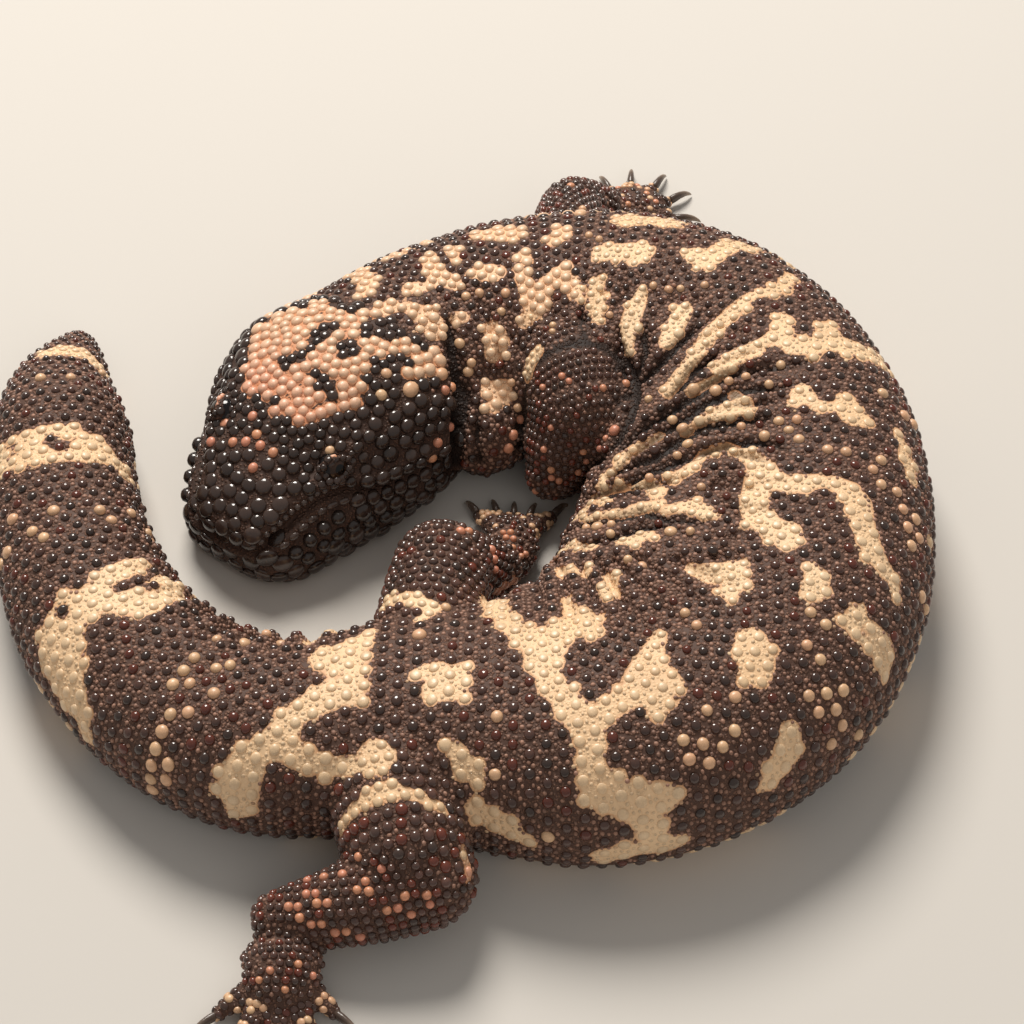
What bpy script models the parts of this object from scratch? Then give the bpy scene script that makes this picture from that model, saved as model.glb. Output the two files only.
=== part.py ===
"""Gila monster at rest, life size: a still display model.

The animal lies in a tight curl on its belly.  Its head, jaw, eyes, neck, trunk, tail, legs,
feet and claws are separate closed solids with thin gaps between them.  Lengths are millimetres
in the constants and metres in the meshes; +Z is up and the belly rests on z = 0.
"""

import math

import bmesh
import bpy
import numpy as np
from mathutils import Vector

MM = 0.001
SEAM = 0.3                 # gap between neighbouring solids
FLOOR = 0.0

# Plan offset from the curl's own layout to the centre of the finished animal's bounding box.
LAYOUT_OFFSET = (10.244, 17.139)

# ---------------------------------------------------------------------------- body
# Each station: name, plan x and y of the back's crest, half width towards the inside of the
# curl, half width towards the outside, height of the crest, height of the widest point.
BODY_STATIONS = (
    ("nape", -25.0, 25.5, 22.5, 21.5, 28.0, 12.5),
    ("neck", -13.0, 33.8, 24.0, 20.5, 28.5, 12.5),
    ("withers", 0.0, 37.0, 26.5, 22.0, 30.0, 13.0),
    ("shoulder", 14.0, 37.5, 28.0, 23.0, 32.0, 13.5),
    ("chest", 34.0, 31.5, 32.0, 23.5, 33.5, 14.0),
    ("front_ribs", 49.0, 13.0, 38.0, 24.0, 34.0, 14.0),
    ("middle_ribs", 53.5, -13.0, 42.0, 24.5, 34.0, 14.0),
    ("rear_ribs", 47.0, -38.5, 43.0, 26.0, 34.0, 14.0),
    ("flank", 31.5, -55.5, 43.0, 27.0, 33.5, 14.0),
    ("loin", 12.5, -62.0, 37.5, 26.0, 32.5, 13.5),
    ("pelvis", -10.0, -61.0, 24.0, 22.0, 30.0, 13.0),
    ("vent", -30.0, -60.5, 20.0, 20.4, 28.0, 12.5),
    ("tail_root", -44.0, -59.8, 18.2, 20.0, 27.0, 12.5),
    ("tail_turn", -66.0, -44.5, 15.4, 18.6, 26.0, 12.4),
    ("tail_middle", -80.5, -17.0, 14.3, 15.6, 25.0, 12.0),
    ("tail_rear", -85.0, 9.0, 13.4, 13.4, 23.5, 11.3),
    ("tail_taper", -86.3, 25.0, 10.0, 10.0, 17.0, 8.3),
    ("tail_neck", -85.4, 36.0, 5.9, 5.9, 10.2, 5.1),
    ("tail_end", -85.0, 43.5, 2.2, 2.2, 4.8, 2.6),
)

# Body solids, each from one distance to the next along the crest.
BODY_NODES = (
    ("neck", 0.0),
    ("shoulders", 30.0),
    ("trunk_front", 62.0),
    ("trunk_middle", 94.0),
    ("trunk_rear", 128.0),
    ("loin", 160.0),
    ("pelvis", 190.0),
    ("tail_base", 222.0),
    ("tail_bend", 252.0),
    ("tail_middle", 282.0),
    ("tail_tip", 316.0),
)
BODY_SIDES = 22            # points round each body section
BODY_RING_STEP = 6.0       # distance between body sections
SECTION_REACH = 16.0       # a section lies square to the crest's run this far each way
NECK_TURN = 20.0           # length of neck over which sections turn from the head's line
SIDE_FULLNESS = 0.92       # below 1 the sides are fuller than an ellipse
BELLY_DROP = 1.25          # above 1 the underside is cut flat by the floor

# ---------------------------------------------------------------------------- head
HEAD_HEADING = 56.0        # degrees from +X, snout towards the nape
HEAD_LENGTH = 50.0
HEAD_LEAN = 0.10           # sideways lean of the crown per unit of height
LEAN_FADE = 20.0           # the lean fades out over this length before the nape
HEAD_SIDES = 22
# Distance from the snout, half width, crown height, height of the widest point, mouth-line height.
HEAD_STATIONS = (
    (0.0, 6.0, 12.0, 5.0, 8.4),
    (1.6, 9.6, 14.2, 5.0, 9.6),
    (5.0, 12.8, 16.8, 5.1, 11.4),
    (11.0, 15.8, 20.0, 5.3, 12.8),
    (18.0, 18.2, 23.6, 5.8, 13.4),
    (26.0, 21.2, 26.6, 7.0, 13.4),
    (34.0, 23.4, 28.3, 8.4, 13.2),
    (40.5, 24.4, 29.0, 9.4, 13.0),
    (45.5, 23.6, 28.8, 10.0, 13.0),
    (50.0, 21.8, 28.2, 10.4, 13.0),
)
HEAD_RING_DISTANCES = (0.0, 0.7, 2.0, 4.0, 7.0, 11.0, 15.5, 20.0, 25.0, 30.0, 35.0, 39.5, 43.5, 47.0, 50.0)
JAW_START = 1.4            # the lower jaw is shorter than the upper
LIP_STEPS = 2              # facets between the lower lip and the jaw's widest point
JAW_FULLNESS = 0.8         # below 1 the jaw's section is squarer than an ellipse
JAW_DEPTH = 1.3            # above 1 the underside is cut flat by the floor
CHIN_DEPTH = 0.45          # share of that depth at the chin
CHIN_LENGTH = 9.0          # the depth grows at this rate behind the chin
EYE_RADIUS = 3.1
EYE_DISTANCE = 20.0        # from the snout
EYE_SPREAD = 12.2          # from the midline
EYE_HEIGHT = 18.8
EYE_SEGMENTS = 12
EYE_RINGS = 8

# Loose skin of the throat, between the jaw and the near front leg: plan x, plan y, height, radius.
THROAT = ((-9.0, 20.5, 12.0, 8.8), (-6.6, 16.0, 11.0, 9.6), (-5.0, 12.0, 10.0, 9.3))
THROAT_SIDES = 14
THROAT_SEAM = 0.6          # gap between the throat and the head
THROAT_HEAD_RINGS = (26.0, 30.0, 35.0, 39.5, 43.5, 47.0, 50.0, 50.3)

# ---------------------------------------------------------------------------- legs
# Points are plan x, plan y, height.  Radii are given at each point.
LEGS = {
    "front_left": {
        "upper": ((9.5, 24.0, 18.0, 10.8), (12.6, 15.5, 18.8, 11.6), (13.8, 10.5, 18.2, 11.0)),
        "lower": ((12.2, 9.0, 16.0, 8.9), (9.2, 4.8, 12.0, 7.4), (7.4, 2.0, 8.8, 5.2)),
        "foot": (10.2, 6.2, 3.0),
        "toe_angles": (64.0, 44.0, 24.0, 4.0, -16.0),
        "toe_lengths": (2.8, 3.2, 3.4, 3.2, 2.8),
        "foot_length": 6.0,
        "foot_width": 5.0,
        "claw_length": 3.0,
    },
    "front_right": {
        "upper": ((12.0, 50.0, 16.0, 8.6), (11.5, 61.0, 12.5, 8.0), (12.0, 69.5, 9.6, 7.0)),
        "lower": ((12.5, 71.5, 9.0, 6.8), (15.5, 73.5, 7.2, 6.0), (19.0, 74.5, 5.4, 4.8)),
        "foot": (23.5, 75.5, 3.2),
        "toe_angles": (112.0, 86.0, 60.0, 34.0, 4.0),
        "toe_lengths": (6.0, 7.0, 7.5, 7.0, 6.0),
        "foot_length": 6.0,
        "foot_width": 5.6,
        "claw_length": 4.2,
    },
    "hind_left": {
        "upper": ((-16.0, -50.0, 15.0, 10.5), (-14.0, -35.0, 14.5, 10.0), (-12.8, -24.5, 13.0, 9.2)),
        "lower": ((-11.5, -23.5, 12.0, 8.4), (-6.5, -20.5, 8.0, 6.8), (-2.5, -18.0, 5.4, 5.0)),
        "foot": (0.0, -11.5, 3.2),
        "toe_angles": (124.0, 106.0, 88.0, 70.0, 50.0),
        "toe_lengths": (7.5, 5.8, 4.8, 5.2, 8.0),
        "foot_length": 7.0,
        "foot_width": 6.2,
        "claw_length": 3.4,
    },
    "hind_right": {
        "upper": ((-20.0, -68.0, 15.0, 12.0), (-19.5, -79.0, 14.0, 11.9), (-18.0, -86.0, 12.8, 11.4)),
        "lower": ((-15.0, -90.5, 10.8, 9.4), (-28.0, -95.0, 9.0, 7.4), (-40.0, -96.0, 6.2, 5.0)),
        "foot": (-39.0, -104.0, 3.3),
        "toe_angles": (-142.0, -116.0, -92.0, -68.0, -42.0),
        "toe_lengths": (9.5, 11.5, 11.0, 10.0, 8.0),
        "foot_length": 8.6,
        "foot_width": 8.4,
        "claw_length": 4.8,
    },
}
LEG_SIDES = 12
DOME_ANGLES = (72.0, 40.0)  # rings that round off the end of a limb piece
WRIST_SHARE = 0.72         # palm radius at the wrist, as a share of the limb's
WRIST_DROP = 0.8           # palm height at the wrist, as a share of the limb's
PALM_SHARES = (0.88, 0.80)  # palm radius at its middle and at the toes
PALM_REACH = 0.35          # how far the palm runs on towards the toes
PALM_SQUASH = 0.72         # a palm is lower than it is wide
PALM_TIP_DROP = 0.6        # a palm slopes down to its toes
TOE_START = 0.45           # share of the foot's length at which its toes begin
TOE_SIDES = 7
TOE_RADIUS = 2.1
TOE_HEIGHTS = (2.7, 2.9)   # of a toe's axis at its root and its knuckle
TOE_TAPER = (1.08, 1.0, 0.84)
TOE_TIP_LIFT = 0.86        # height of a toe's tip, in toe radii
CLAW_SIDES = 6
CLAW_RADIUS = 1.05
CLAW_TAPER = (1.0, 0.66, 0.27)
CLAW_HEIGHTS = (1.9, 1.8, 0.65)
CLAW_BEND = 0.55           # share of the claw's length at which it turns down
SHARP_ANGLE = 50.0         # edges sharper than this stay crisp

# ---------------------------------------------------------------------------- colours
COLOURS = {
    "dark_hide": ((0.035, 0.026, 0.024, 1.0), 0.42),
    "head_hide": ((0.020, 0.017, 0.017, 1.0), 0.32),
    "eye": ((0.012, 0.009, 0.008, 1.0), 0.08),
    "claw": ((0.16, 0.12, 0.09, 1.0), 0.40),
}


# ---------------------------------------------------------------------------- curves
def natural_curve(knots, values):
    """Return a function for the natural cubic curve through the values at the knots."""
    knots = np.asarray(knots, dtype=float)
    values = np.asarray(values, dtype=float)
    count = len(knots)
    steps = np.diff(knots)
    slopes = np.diff(values, axis=0) / steps[:, None]
    matrix = np.eye(count)
    right = np.zeros_like(values)
    for i in range(1, count - 1):
        matrix[i, i - 1] = steps[i - 1]
        matrix[i, i] = 2.0 * (steps[i - 1] + steps[i])
        matrix[i, i + 1] = steps[i]
        right[i] = 6.0 * (slopes[i] - slopes[i - 1])
    bends = np.linalg.solve(matrix, right)

    def at(t):
        i = int(np.clip(np.searchsorted(knots, t) - 1, 0, count - 2))
        h = steps[i]
        a = knots[i + 1] - t
        b = t - knots[i]
        cubic = (bends[i] * a ** 3 + bends[i + 1] * b ** 3) / (6.0 * h)
        linear = (values[i] / h - bends[i] * h / 6.0) * a
        return cubic + linear + (values[i + 1] / h - bends[i + 1] * h / 6.0) * b

    return at


def steady_curve(knots, values):
    """Return a function for a smooth curve that never overshoots its values."""
    knots = np.asarray(knots, dtype=float)
    values = np.asarray(values, dtype=float)
    steps = np.diff(knots)
    slopes = np.diff(values, axis=0) / steps[:, None]
    tangents = np.zeros_like(values)
    tangents[0] = slopes[0]
    tangents[-1] = slopes[-1]
    for i in range(1, len(knots) - 1):
        before = slopes[i - 1]
        after = slopes[i]
        same_way = before * after > 0.0
        total = np.where(same_way, before + after, 1.0)
        tangents[i] = np.where(same_way, 2.0 * before * after / total, 0.0)

    def at(t):
        i = int(np.clip(np.searchsorted(knots, t) - 1, 0, len(knots) - 2))
        h = steps[i]
        f = min(max((t - knots[i]) / h, 0.0), 1.0)
        start = (1.0 + 2.0 * f) * (1.0 - f) ** 2 * values[i] + f * (1.0 - f) ** 2 * h * tangents[i]
        end = f * f * (3.0 - 2.0 * f) * values[i + 1] + f * f * (f - 1.0) * h * tangents[i + 1]
        return start + end

    return at


def signed_power(value, power):
    return math.copysign(abs(value) ** power, value)


def placed(x, y, z):
    """A layout point in millimetres as a world point in metres."""
    return Vector(((x + LAYOUT_OFFSET[0]) * MM, (y + LAYOUT_OFFSET[1]) * MM, z * MM))


class Spine:
    """The curled body: the crest's plan curve and the section sizes along it."""

    def __init__(self):
        plan = np.array([station[1:3] for station in BODY_STATIONS])
        chords = np.linalg.norm(np.diff(plan, axis=0), axis=1)
        knots = np.concatenate(([0.0], np.cumsum(chords)))
        self.length = float(knots[-1])
        self.plan_at = natural_curve(knots, plan)
        self.sizes_at = steady_curve(knots, [station[3:] for station in BODY_STATIONS])

    def inward(self, s):
        """Unit plan direction from the crest towards the inside of the curl."""
        reach = min(SECTION_REACH, s, self.length - s) + 0.5
        ahead = self.plan_at(min(s + reach, self.length)) - self.plan_at(max(s - reach, 0.0))
        heading = math.atan2(ahead[1], ahead[0])
        turned = min(s / NECK_TURN, 1.0)
        heading += (1.0 - turned * turned * (3.0 - 2.0 * turned)) * (math.radians(HEAD_HEADING) - heading)
        return np.array((math.sin(heading), -math.cos(heading)))

    def section(self, s, swell=0.0):
        """World points of the body's section at a distance along the crest."""
        x, y = self.plan_at(s)
        inner, outer, height, girth = self.sizes_at(s)
        side = self.inward(s)
        points = []
        for k in range(BODY_SIDES):
            turn = 2.0 * math.pi * (k + 0.5) / BODY_SIDES
            across = signed_power(math.cos(turn), SIDE_FULLNESS)
            half = (inner if across > 0.0 else outer) + swell
            rise = signed_power(math.sin(turn), SIDE_FULLNESS)
            if rise > 0.0:
                z = girth + (height - girth + swell) * rise
            else:
                z = max(girth + girth * BELLY_DROP * rise, FLOOR) - (swell if rise < -0.5 else 0.0)
            points.append(placed(x + side[0] * half * across, y + side[1] * half * across, z))
        return points


# ---------------------------------------------------------------------------- mesh helpers
def material(name):
    existing = bpy.data.materials.get(name)
    if existing:
        return existing
    made = bpy.data.materials.new(name)
    made.use_nodes = True
    shader = made.node_tree.nodes["Principled BSDF"]
    colour, roughness = COLOURS[name]
    shader.inputs["Base Color"].default_value = colour
    shader.inputs["Roughness"].default_value = roughness
    shader.inputs["Metallic"].default_value = 0.0
    made.diffuse_color = colour
    return made


def object_from_rings(name, rings, finish):
    """Join a run of rings into one closed solid with flat ends."""
    bm = bmesh.new()
    loops = [[bm.verts.new(point) for point in ring] for ring in rings]
    count = len(loops[0])
    for first, second in zip(loops, loops[1:]):
        for k in range(count):
            n = (k + 1) % count
            bm.faces.new((first[k], first[n], second[n], second[k]))
    bm.faces.new(reversed(loops[0]))
    bm.faces.new(loops[-1])
    bmesh.ops.recalc_face_normals(bm, faces=bm.faces[:])
    mesh = bpy.data.meshes.new(name)
    bm.to_mesh(mesh)
    bm.free()
    mesh.materials.append(material(finish))
    mesh.shade_smooth()
    mesh.set_sharp_from_angle(angle=math.radians(SHARP_ANGLE))
    solid = bpy.data.objects.new(name, mesh)
    bpy.context.scene.collection.objects.link(solid)
    return solid


def tube_rings(path, sides, swell=0.0, round_start=True, round_end=True, stride=2):
    """Rings of a tapered limb through points of x, y, height and radius."""
    path = np.asarray(path, dtype=float)
    chords = np.linalg.norm(np.diff(path[:, :3], axis=0), axis=1)
    knots = np.concatenate(([0.0], np.cumsum(chords)))
    at = natural_curve(knots, path)
    length = float(knots[-1])
    steps = [length * k / (stride * (len(path) - 1)) for k in range(stride * (len(path) - 1) + 1)]
    centres = [(at(s), s) for s in steps]
    rings = []

    def ring(centre, ahead, radius):
        ahead = Vector(ahead).normalized()
        across = ahead.cross(Vector((0.0, 0.0, 1.0)))
        if across.length < 0.2:
            across = ahead.cross(Vector((0.0, 1.0, 0.0)))
        across.normalize()
        up = across.cross(ahead)
        points = []
        for k in range(sides):
            turn = 2.0 * math.pi * k / sides
            offset = across * (radius * math.cos(turn)) + up * (radius * math.sin(turn))
            z = max(centre[2] + offset.z, FLOOR - swell)
            points.append(placed(centre[0] + offset.x, centre[1] + offset.y, z))
        rings.append(points)

    def direction(s):
        return (at(min(s + 0.3, length)) - at(max(s - 0.3, 0.0)))[:3]

    if round_start:
        for lift in DOME_ANGLES:
            radius = centres[0][0][3] + swell
            centre = Vector(centres[0][0][:3])
            back = Vector(direction(0.0)).normalized() * (radius * math.sin(math.radians(lift)))
            ring(centre - back, direction(0.0), radius * math.cos(math.radians(lift)))
    for value, s in centres:
        ring(Vector(value[:3]), direction(s), value[3] + swell)
    if round_end:
        for lift in reversed(DOME_ANGLES):
            radius = centres[-1][0][3] + swell
            centre = Vector(centres[-1][0][:3])
            on = Vector(direction(length)).normalized() * (radius * math.sin(math.radians(lift)))
            ring(centre + on, direction(length), radius * math.cos(math.radians(lift)))
    return rings


def apply_boolean(solid, operation, cutter):
    """Apply one exact Boolean to a solid and discard the cutter."""
    step = solid.modifiers.new(operation.title(), "BOOLEAN")
    step.operation = operation
    step.solver = "EXACT"
    step.object = cutter
    graph = bpy.context.evaluated_depsgraph_get()
    result = bpy.data.meshes.new_from_object(solid.evaluated_get(graph), depsgraph=graph)
    solid.modifiers.clear()
    old = solid.data
    solid.data = result
    bpy.data.meshes.remove(old)


def discard(solid):
    mesh = solid.data
    bpy.data.objects.remove(solid)
    bpy.data.meshes.remove(mesh)


# ---------------------------------------------------------------------------- body and head
def build_body(spine):
    """Cut the body into its named lengths, with a seam between neighbours."""
    starts = [start for _, start in BODY_NODES] + [spine.length]
    for index, (name, start) in enumerate(BODY_NODES):
        low = start + SEAM / 2.0
        high = starts[index + 1] - (SEAM / 2.0 if index + 1 < len(BODY_NODES) else 0.0)
        count = max(2, round((high - low) / BODY_RING_STEP))
        rings = [spine.section(low + (high - low) * k / count) for k in range(count + 1)]
        object_from_rings(name, rings, "dark_hide")


def head_frame():
    """Snout point, plan direction from snout to nape, and plan direction to the animal's left."""
    heading = math.radians(HEAD_HEADING)
    back = Vector((math.cos(heading), math.sin(heading), 0.0))
    left = Vector((math.sin(heading), -math.cos(heading), 0.0))
    nape = Vector((BODY_STATIONS[0][1], BODY_STATIONS[0][2], 0.0))
    return nape - back * HEAD_LENGTH, back, left


def head_point(distance, across, z):
    """World point at a distance behind the snout, an offset to the left and a height."""
    snout, back, left = head_frame()
    fade = min(max((HEAD_LENGTH - distance) / LEAN_FADE, 0.0), 1.0)
    lean = HEAD_LEAN * fade * z
    flat = snout + back * distance + left * (across - lean)
    return placed(flat.x, flat.y, z)


def head_sizes():
    """Half width, crown, widest and mouth-line heights by distance behind the snout."""
    distances = [station[0] for station in HEAD_STATIONS]
    return steady_curve(distances, [station[1:] for station in HEAD_STATIONS])


def side_turn(distance, level):
    """Turn, up from the widest point, at which the head's side reaches a height."""
    _, crown, girth, _ = head_sizes()(distance)
    return math.asin(((level - girth) / (crown - girth)) ** (1.0 / SIDE_FULLNESS))


def head_arc(distance, first, last, count):
    """Points of the head's rounded top between two turns; 0 is the left side and pi the right."""
    width, crown, girth, _ = head_sizes()(distance)
    points = []
    for k in range(count + 1):
        turn = first + (last - first) * k / count
        across = signed_power(math.cos(turn), SIDE_FULLNESS) * width
        rise = abs(math.sin(turn)) ** SIDE_FULLNESS
        points.append(head_point(distance, across, girth + (crown - girth) * rise))
    return points


def upper_head_section(distance):
    """From the left lip over the crown to the right lip."""
    start = side_turn(distance, head_sizes()(distance)[3] + SEAM / 2.0)
    return head_arc(distance, start, math.pi - start, HEAD_SIDES // 2)


def jaw_section(distance):
    """From the left lip down the side, under the throat on the floor, and up to the right lip."""
    width, _, girth, mouth = head_sizes()(distance)
    lip = side_turn(distance, mouth - SEAM / 2.0)
    depth = JAW_DEPTH * min(1.0, CHIN_DEPTH + (distance - JAW_START) / CHIN_LENGTH)
    under = []
    for k in range(1, HEAD_SIDES // 2):
        turn = math.pi * k / (HEAD_SIDES // 2)
        across = signed_power(math.cos(turn), JAW_FULLNESS) * width
        z = girth * (1.0 - depth * math.sin(turn) ** JAW_FULLNESS)
        under.append(head_point(distance, across, max(z, FLOOR)))
    left_side = head_arc(distance, lip, 0.0, LIP_STEPS)
    right_side = head_arc(distance, math.pi, math.pi - lip, LIP_STEPS)
    return left_side + under + right_side


def build_head():
    last = HEAD_LENGTH - SEAM / 2.0
    distances = [min(distance, last) for distance in HEAD_RING_DISTANCES]
    object_from_rings("head", [upper_head_section(distance) for distance in distances], "head_hide")
    behind_chin = [distance for distance in distances if distance >= JAW_START]
    object_from_rings("jaw", [jaw_section(distance) for distance in behind_chin], "head_hide")


# ---------------------------------------------------------------------------- legs
def build_leg(name, leg, body_cutter):
    upper = object_from_rings("leg_%s_upper" % name, tube_rings(leg["upper"], LEG_SIDES), "dark_hide")
    apply_boolean(upper, "DIFFERENCE", body_cutter)
    lower = object_from_rings("leg_%s_lower" % name, tube_rings(leg["lower"], LEG_SIDES), "dark_hide")
    upper_cutter = object_from_rings("cutter_upper", tube_rings(leg["upper"], LEG_SIDES, SEAM), "dark_hide")
    apply_boolean(lower, "DIFFERENCE", upper_cutter)
    apply_boolean(lower, "DIFFERENCE", body_cutter)
    lower_cutter = object_from_rings("cutter_lower", tube_rings(leg["lower"], LEG_SIDES, SEAM), "dark_hide")
    build_foot(name, leg, (lower_cutter, upper_cutter, body_cutter))
    discard(upper_cutter)
    discard(lower_cutter)


def palm_rings(leg):
    """A low rounded pad between the ankle and the toes."""
    ankle = leg["lower"][-1]
    centre = leg["foot"]
    reach = leg["foot_length"] * PALM_REACH
    middle = math.radians(leg["toe_angles"][2])
    toe_side_x = centre[0] + math.cos(middle) * reach
    toe_side_y = centre[1] + math.sin(middle) * reach
    path = (
        (ankle[0], ankle[1], ankle[2] * WRIST_DROP, ankle[3] * WRIST_SHARE),
        (centre[0], centre[1], centre[2], leg["foot_width"] * PALM_SHARES[0]),
        (toe_side_x, toe_side_y, centre[2] - PALM_TIP_DROP, leg["foot_width"] * PALM_SHARES[1]),
    )
    flat = []
    for ring in tube_rings(path, LEG_SIDES, stride=1):
        low = min(point.z for point in ring)
        flat.append([Vector((p.x, p.y, low + (p.z - low) * PALM_SQUASH)) for p in ring])
    return flat


def toe_path(leg, index):
    centre = leg["foot"]
    angle = math.radians(leg["toe_angles"][index])
    length = leg["toe_lengths"][index]
    start = leg["foot_length"] * TOE_START
    along = Vector((math.cos(angle), math.sin(angle)))

    def at(distance, z, radius):
        return (centre[0] + along.x * distance, centre[1] + along.y * distance, z, radius)

    reach = start + length
    return (
        at(start, TOE_HEIGHTS[0], TOE_RADIUS * TOE_TAPER[0]),
        at(start + length / 2.0, TOE_HEIGHTS[1], TOE_RADIUS * TOE_TAPER[1]),
        at(reach, TOE_RADIUS * TOE_TIP_LIFT, TOE_RADIUS * TOE_TAPER[2]),
    )


def claw_path(leg, index):
    base = toe_path(leg, index)[-1]
    angle = math.radians(leg["toe_angles"][index])
    along = Vector((math.cos(angle), math.sin(angle)))

    def at(distance, z, radius):
        return (base[0] + along.x * distance, base[1] + along.y * distance, z, radius)

    start = base[3] * math.sin(math.radians(DOME_ANGLES[0])) + SEAM
    shares = (0.0, CLAW_BEND, 1.0)
    return [
        at(start + leg["claw_length"] * share, height, CLAW_RADIUS * taper)
        for share, height, taper in zip(shares, CLAW_HEIGHTS, CLAW_TAPER)
    ]


def build_foot(name, leg, cutters):
    foot = object_from_rings("foot_%s" % name, palm_rings(leg), "dark_hide")
    for index in range(len(leg["toe_angles"])):
        rings = tube_rings(toe_path(leg, index), TOE_SIDES, round_start=False, stride=1)
        toe = object_from_rings("toe_piece", rings, "dark_hide")
        apply_boolean(foot, "UNION", toe)
        discard(toe)
        rings = tube_rings(claw_path(leg, index), CLAW_SIDES, round_start=False, round_end=False, stride=1)
        object_from_rings("claw_%s_%d" % (name, index + 1), rings, "claw")
    for cutter in cutters:
        apply_boolean(foot, "DIFFERENCE", cutter)


def whole_head_ring(distance):
    """A ring round head and jaw together, grown outwards by the throat's seam."""
    width, _, girth, _ = head_sizes()(distance)
    ring = head_arc(distance, 0.0, math.pi, HEAD_SIDES)
    for k in range(1, HEAD_SIDES):
        turn = math.pi * (1.0 - k / HEAD_SIDES)
        across = signed_power(math.cos(turn), JAW_FULLNESS) * width
        ring.append(head_point(distance, across, girth * (1.0 - JAW_DEPTH * math.sin(turn) ** JAW_FULLNESS)))
    centre = head_point(distance, 0.0, girth)
    growth = 1.0 + THROAT_SEAM / width
    return [tuple(c + (p - c) * growth for c, p in zip(centre, point)) for point in ring]


def build_throat():
    """The throat's loose skin is fitted against the head and the near front leg, and joined to the neck."""
    throat = object_from_rings("throat", tube_rings(THROAT, THROAT_SIDES), "dark_hide")
    cutters = [object_from_rings("cutter_head", [whole_head_ring(d) for d in THROAT_HEAD_RINGS], "dark_hide")]
    for part in ("upper", "lower"):
        rings = tube_rings(LEGS["front_left"][part], LEG_SIDES, SEAM)
        cutters.append(object_from_rings("cutter_" + part, rings, "dark_hide"))
    for cutter in cutters:
        apply_boolean(throat, "DIFFERENCE", cutter)
        discard(cutter)
    apply_boolean(bpy.data.objects["neck"], "UNION", throat)
    discard(throat)


def build_legs(spine):
    """Each leg is fitted against the body and against its own neighbour piece."""
    count = round(spine.length / BODY_RING_STEP)
    rings = [spine.section(spine.length * k / count, SEAM) for k in range(count + 1)]
    body_cutter = object_from_rings("cutter_body", rings, "dark_hide")
    for name, leg in LEGS.items():
        build_leg(name, leg, body_cutter)
    discard(body_cutter)


def build_eyes():
    """Each eye sits in a socket cut a seam wider than the ball."""
    head = bpy.data.objects["head"]
    for name, side in (("eye_left", 1.0), ("eye_right", -1.0)):
        centre = head_point(EYE_DISTANCE, side * EYE_SPREAD, EYE_HEIGHT)
        for label, radius in ((name, EYE_RADIUS), ("cutter_eye", EYE_RADIUS + SEAM)):
            bm = bmesh.new()
            segments = EYE_SEGMENTS
            bmesh.ops.create_uvsphere(bm, u_segments=segments, v_segments=EYE_RINGS, radius=radius * MM)
            mesh = bpy.data.meshes.new(label)
            bm.to_mesh(mesh)
            bm.free()
            mesh.materials.append(material("eye"))
            mesh.shade_smooth()
            ball = bpy.data.objects.new(label, mesh)
            ball.location = centre
            bpy.context.scene.collection.objects.link(ball)
        bpy.context.view_layer.update()
        cutter = bpy.data.objects["cutter_eye"]
        apply_boolean(head, "DIFFERENCE", cutter)
        discard(cutter)


def main():
    for item in list(bpy.data.objects):
        bpy.data.objects.remove(item)
    spine = Spine()
    build_body(spine)
    build_head()
    build_eyes()
    build_legs(spine)
    build_throat()
    bpy.context.view_layer.update()


main()
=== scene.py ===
"""Gila monster at rest, life size: the finished look of a still display model.

One skin covers the whole animal.  Beads, plates and scutes lie over it as solid meshes, and the
eyes and claws are pieces of their own.  Lengths are millimetres in the tables and metres in the
scene; +Z is up and the belly rests on z = 0.
"""
import math

import bmesh
import bpy
import numpy as np
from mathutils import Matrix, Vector
from mathutils.bvhtree import BVHTree
from mathutils.kdtree import KDTree


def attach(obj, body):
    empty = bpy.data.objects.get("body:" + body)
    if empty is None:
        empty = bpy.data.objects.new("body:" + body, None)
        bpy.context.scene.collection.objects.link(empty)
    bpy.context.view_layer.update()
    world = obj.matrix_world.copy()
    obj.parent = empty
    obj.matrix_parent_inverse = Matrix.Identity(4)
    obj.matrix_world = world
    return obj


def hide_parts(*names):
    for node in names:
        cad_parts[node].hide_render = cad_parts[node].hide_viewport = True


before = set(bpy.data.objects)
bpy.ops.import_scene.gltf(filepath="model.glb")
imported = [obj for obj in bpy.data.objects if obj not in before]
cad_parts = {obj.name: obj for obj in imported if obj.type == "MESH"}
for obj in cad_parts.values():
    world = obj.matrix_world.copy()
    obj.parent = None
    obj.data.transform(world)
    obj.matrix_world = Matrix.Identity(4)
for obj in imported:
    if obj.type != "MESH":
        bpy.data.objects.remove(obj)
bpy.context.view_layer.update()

bl_info = {
    "name": "Gila Monster Display Model",
    "version": (1, 0, 0),
    "blender": (4, 5, 0),
    "location": "3D View > Sidebar > Gila Monster",
    "description": "Builds the skin, beads, eyes and claws of a life-size gila monster",
    "category": "Object",
}

MM = 0.001
SEED = 20
LAYOUT_OFFSET = np.array((10.244, 17.139, 0.0))

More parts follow.
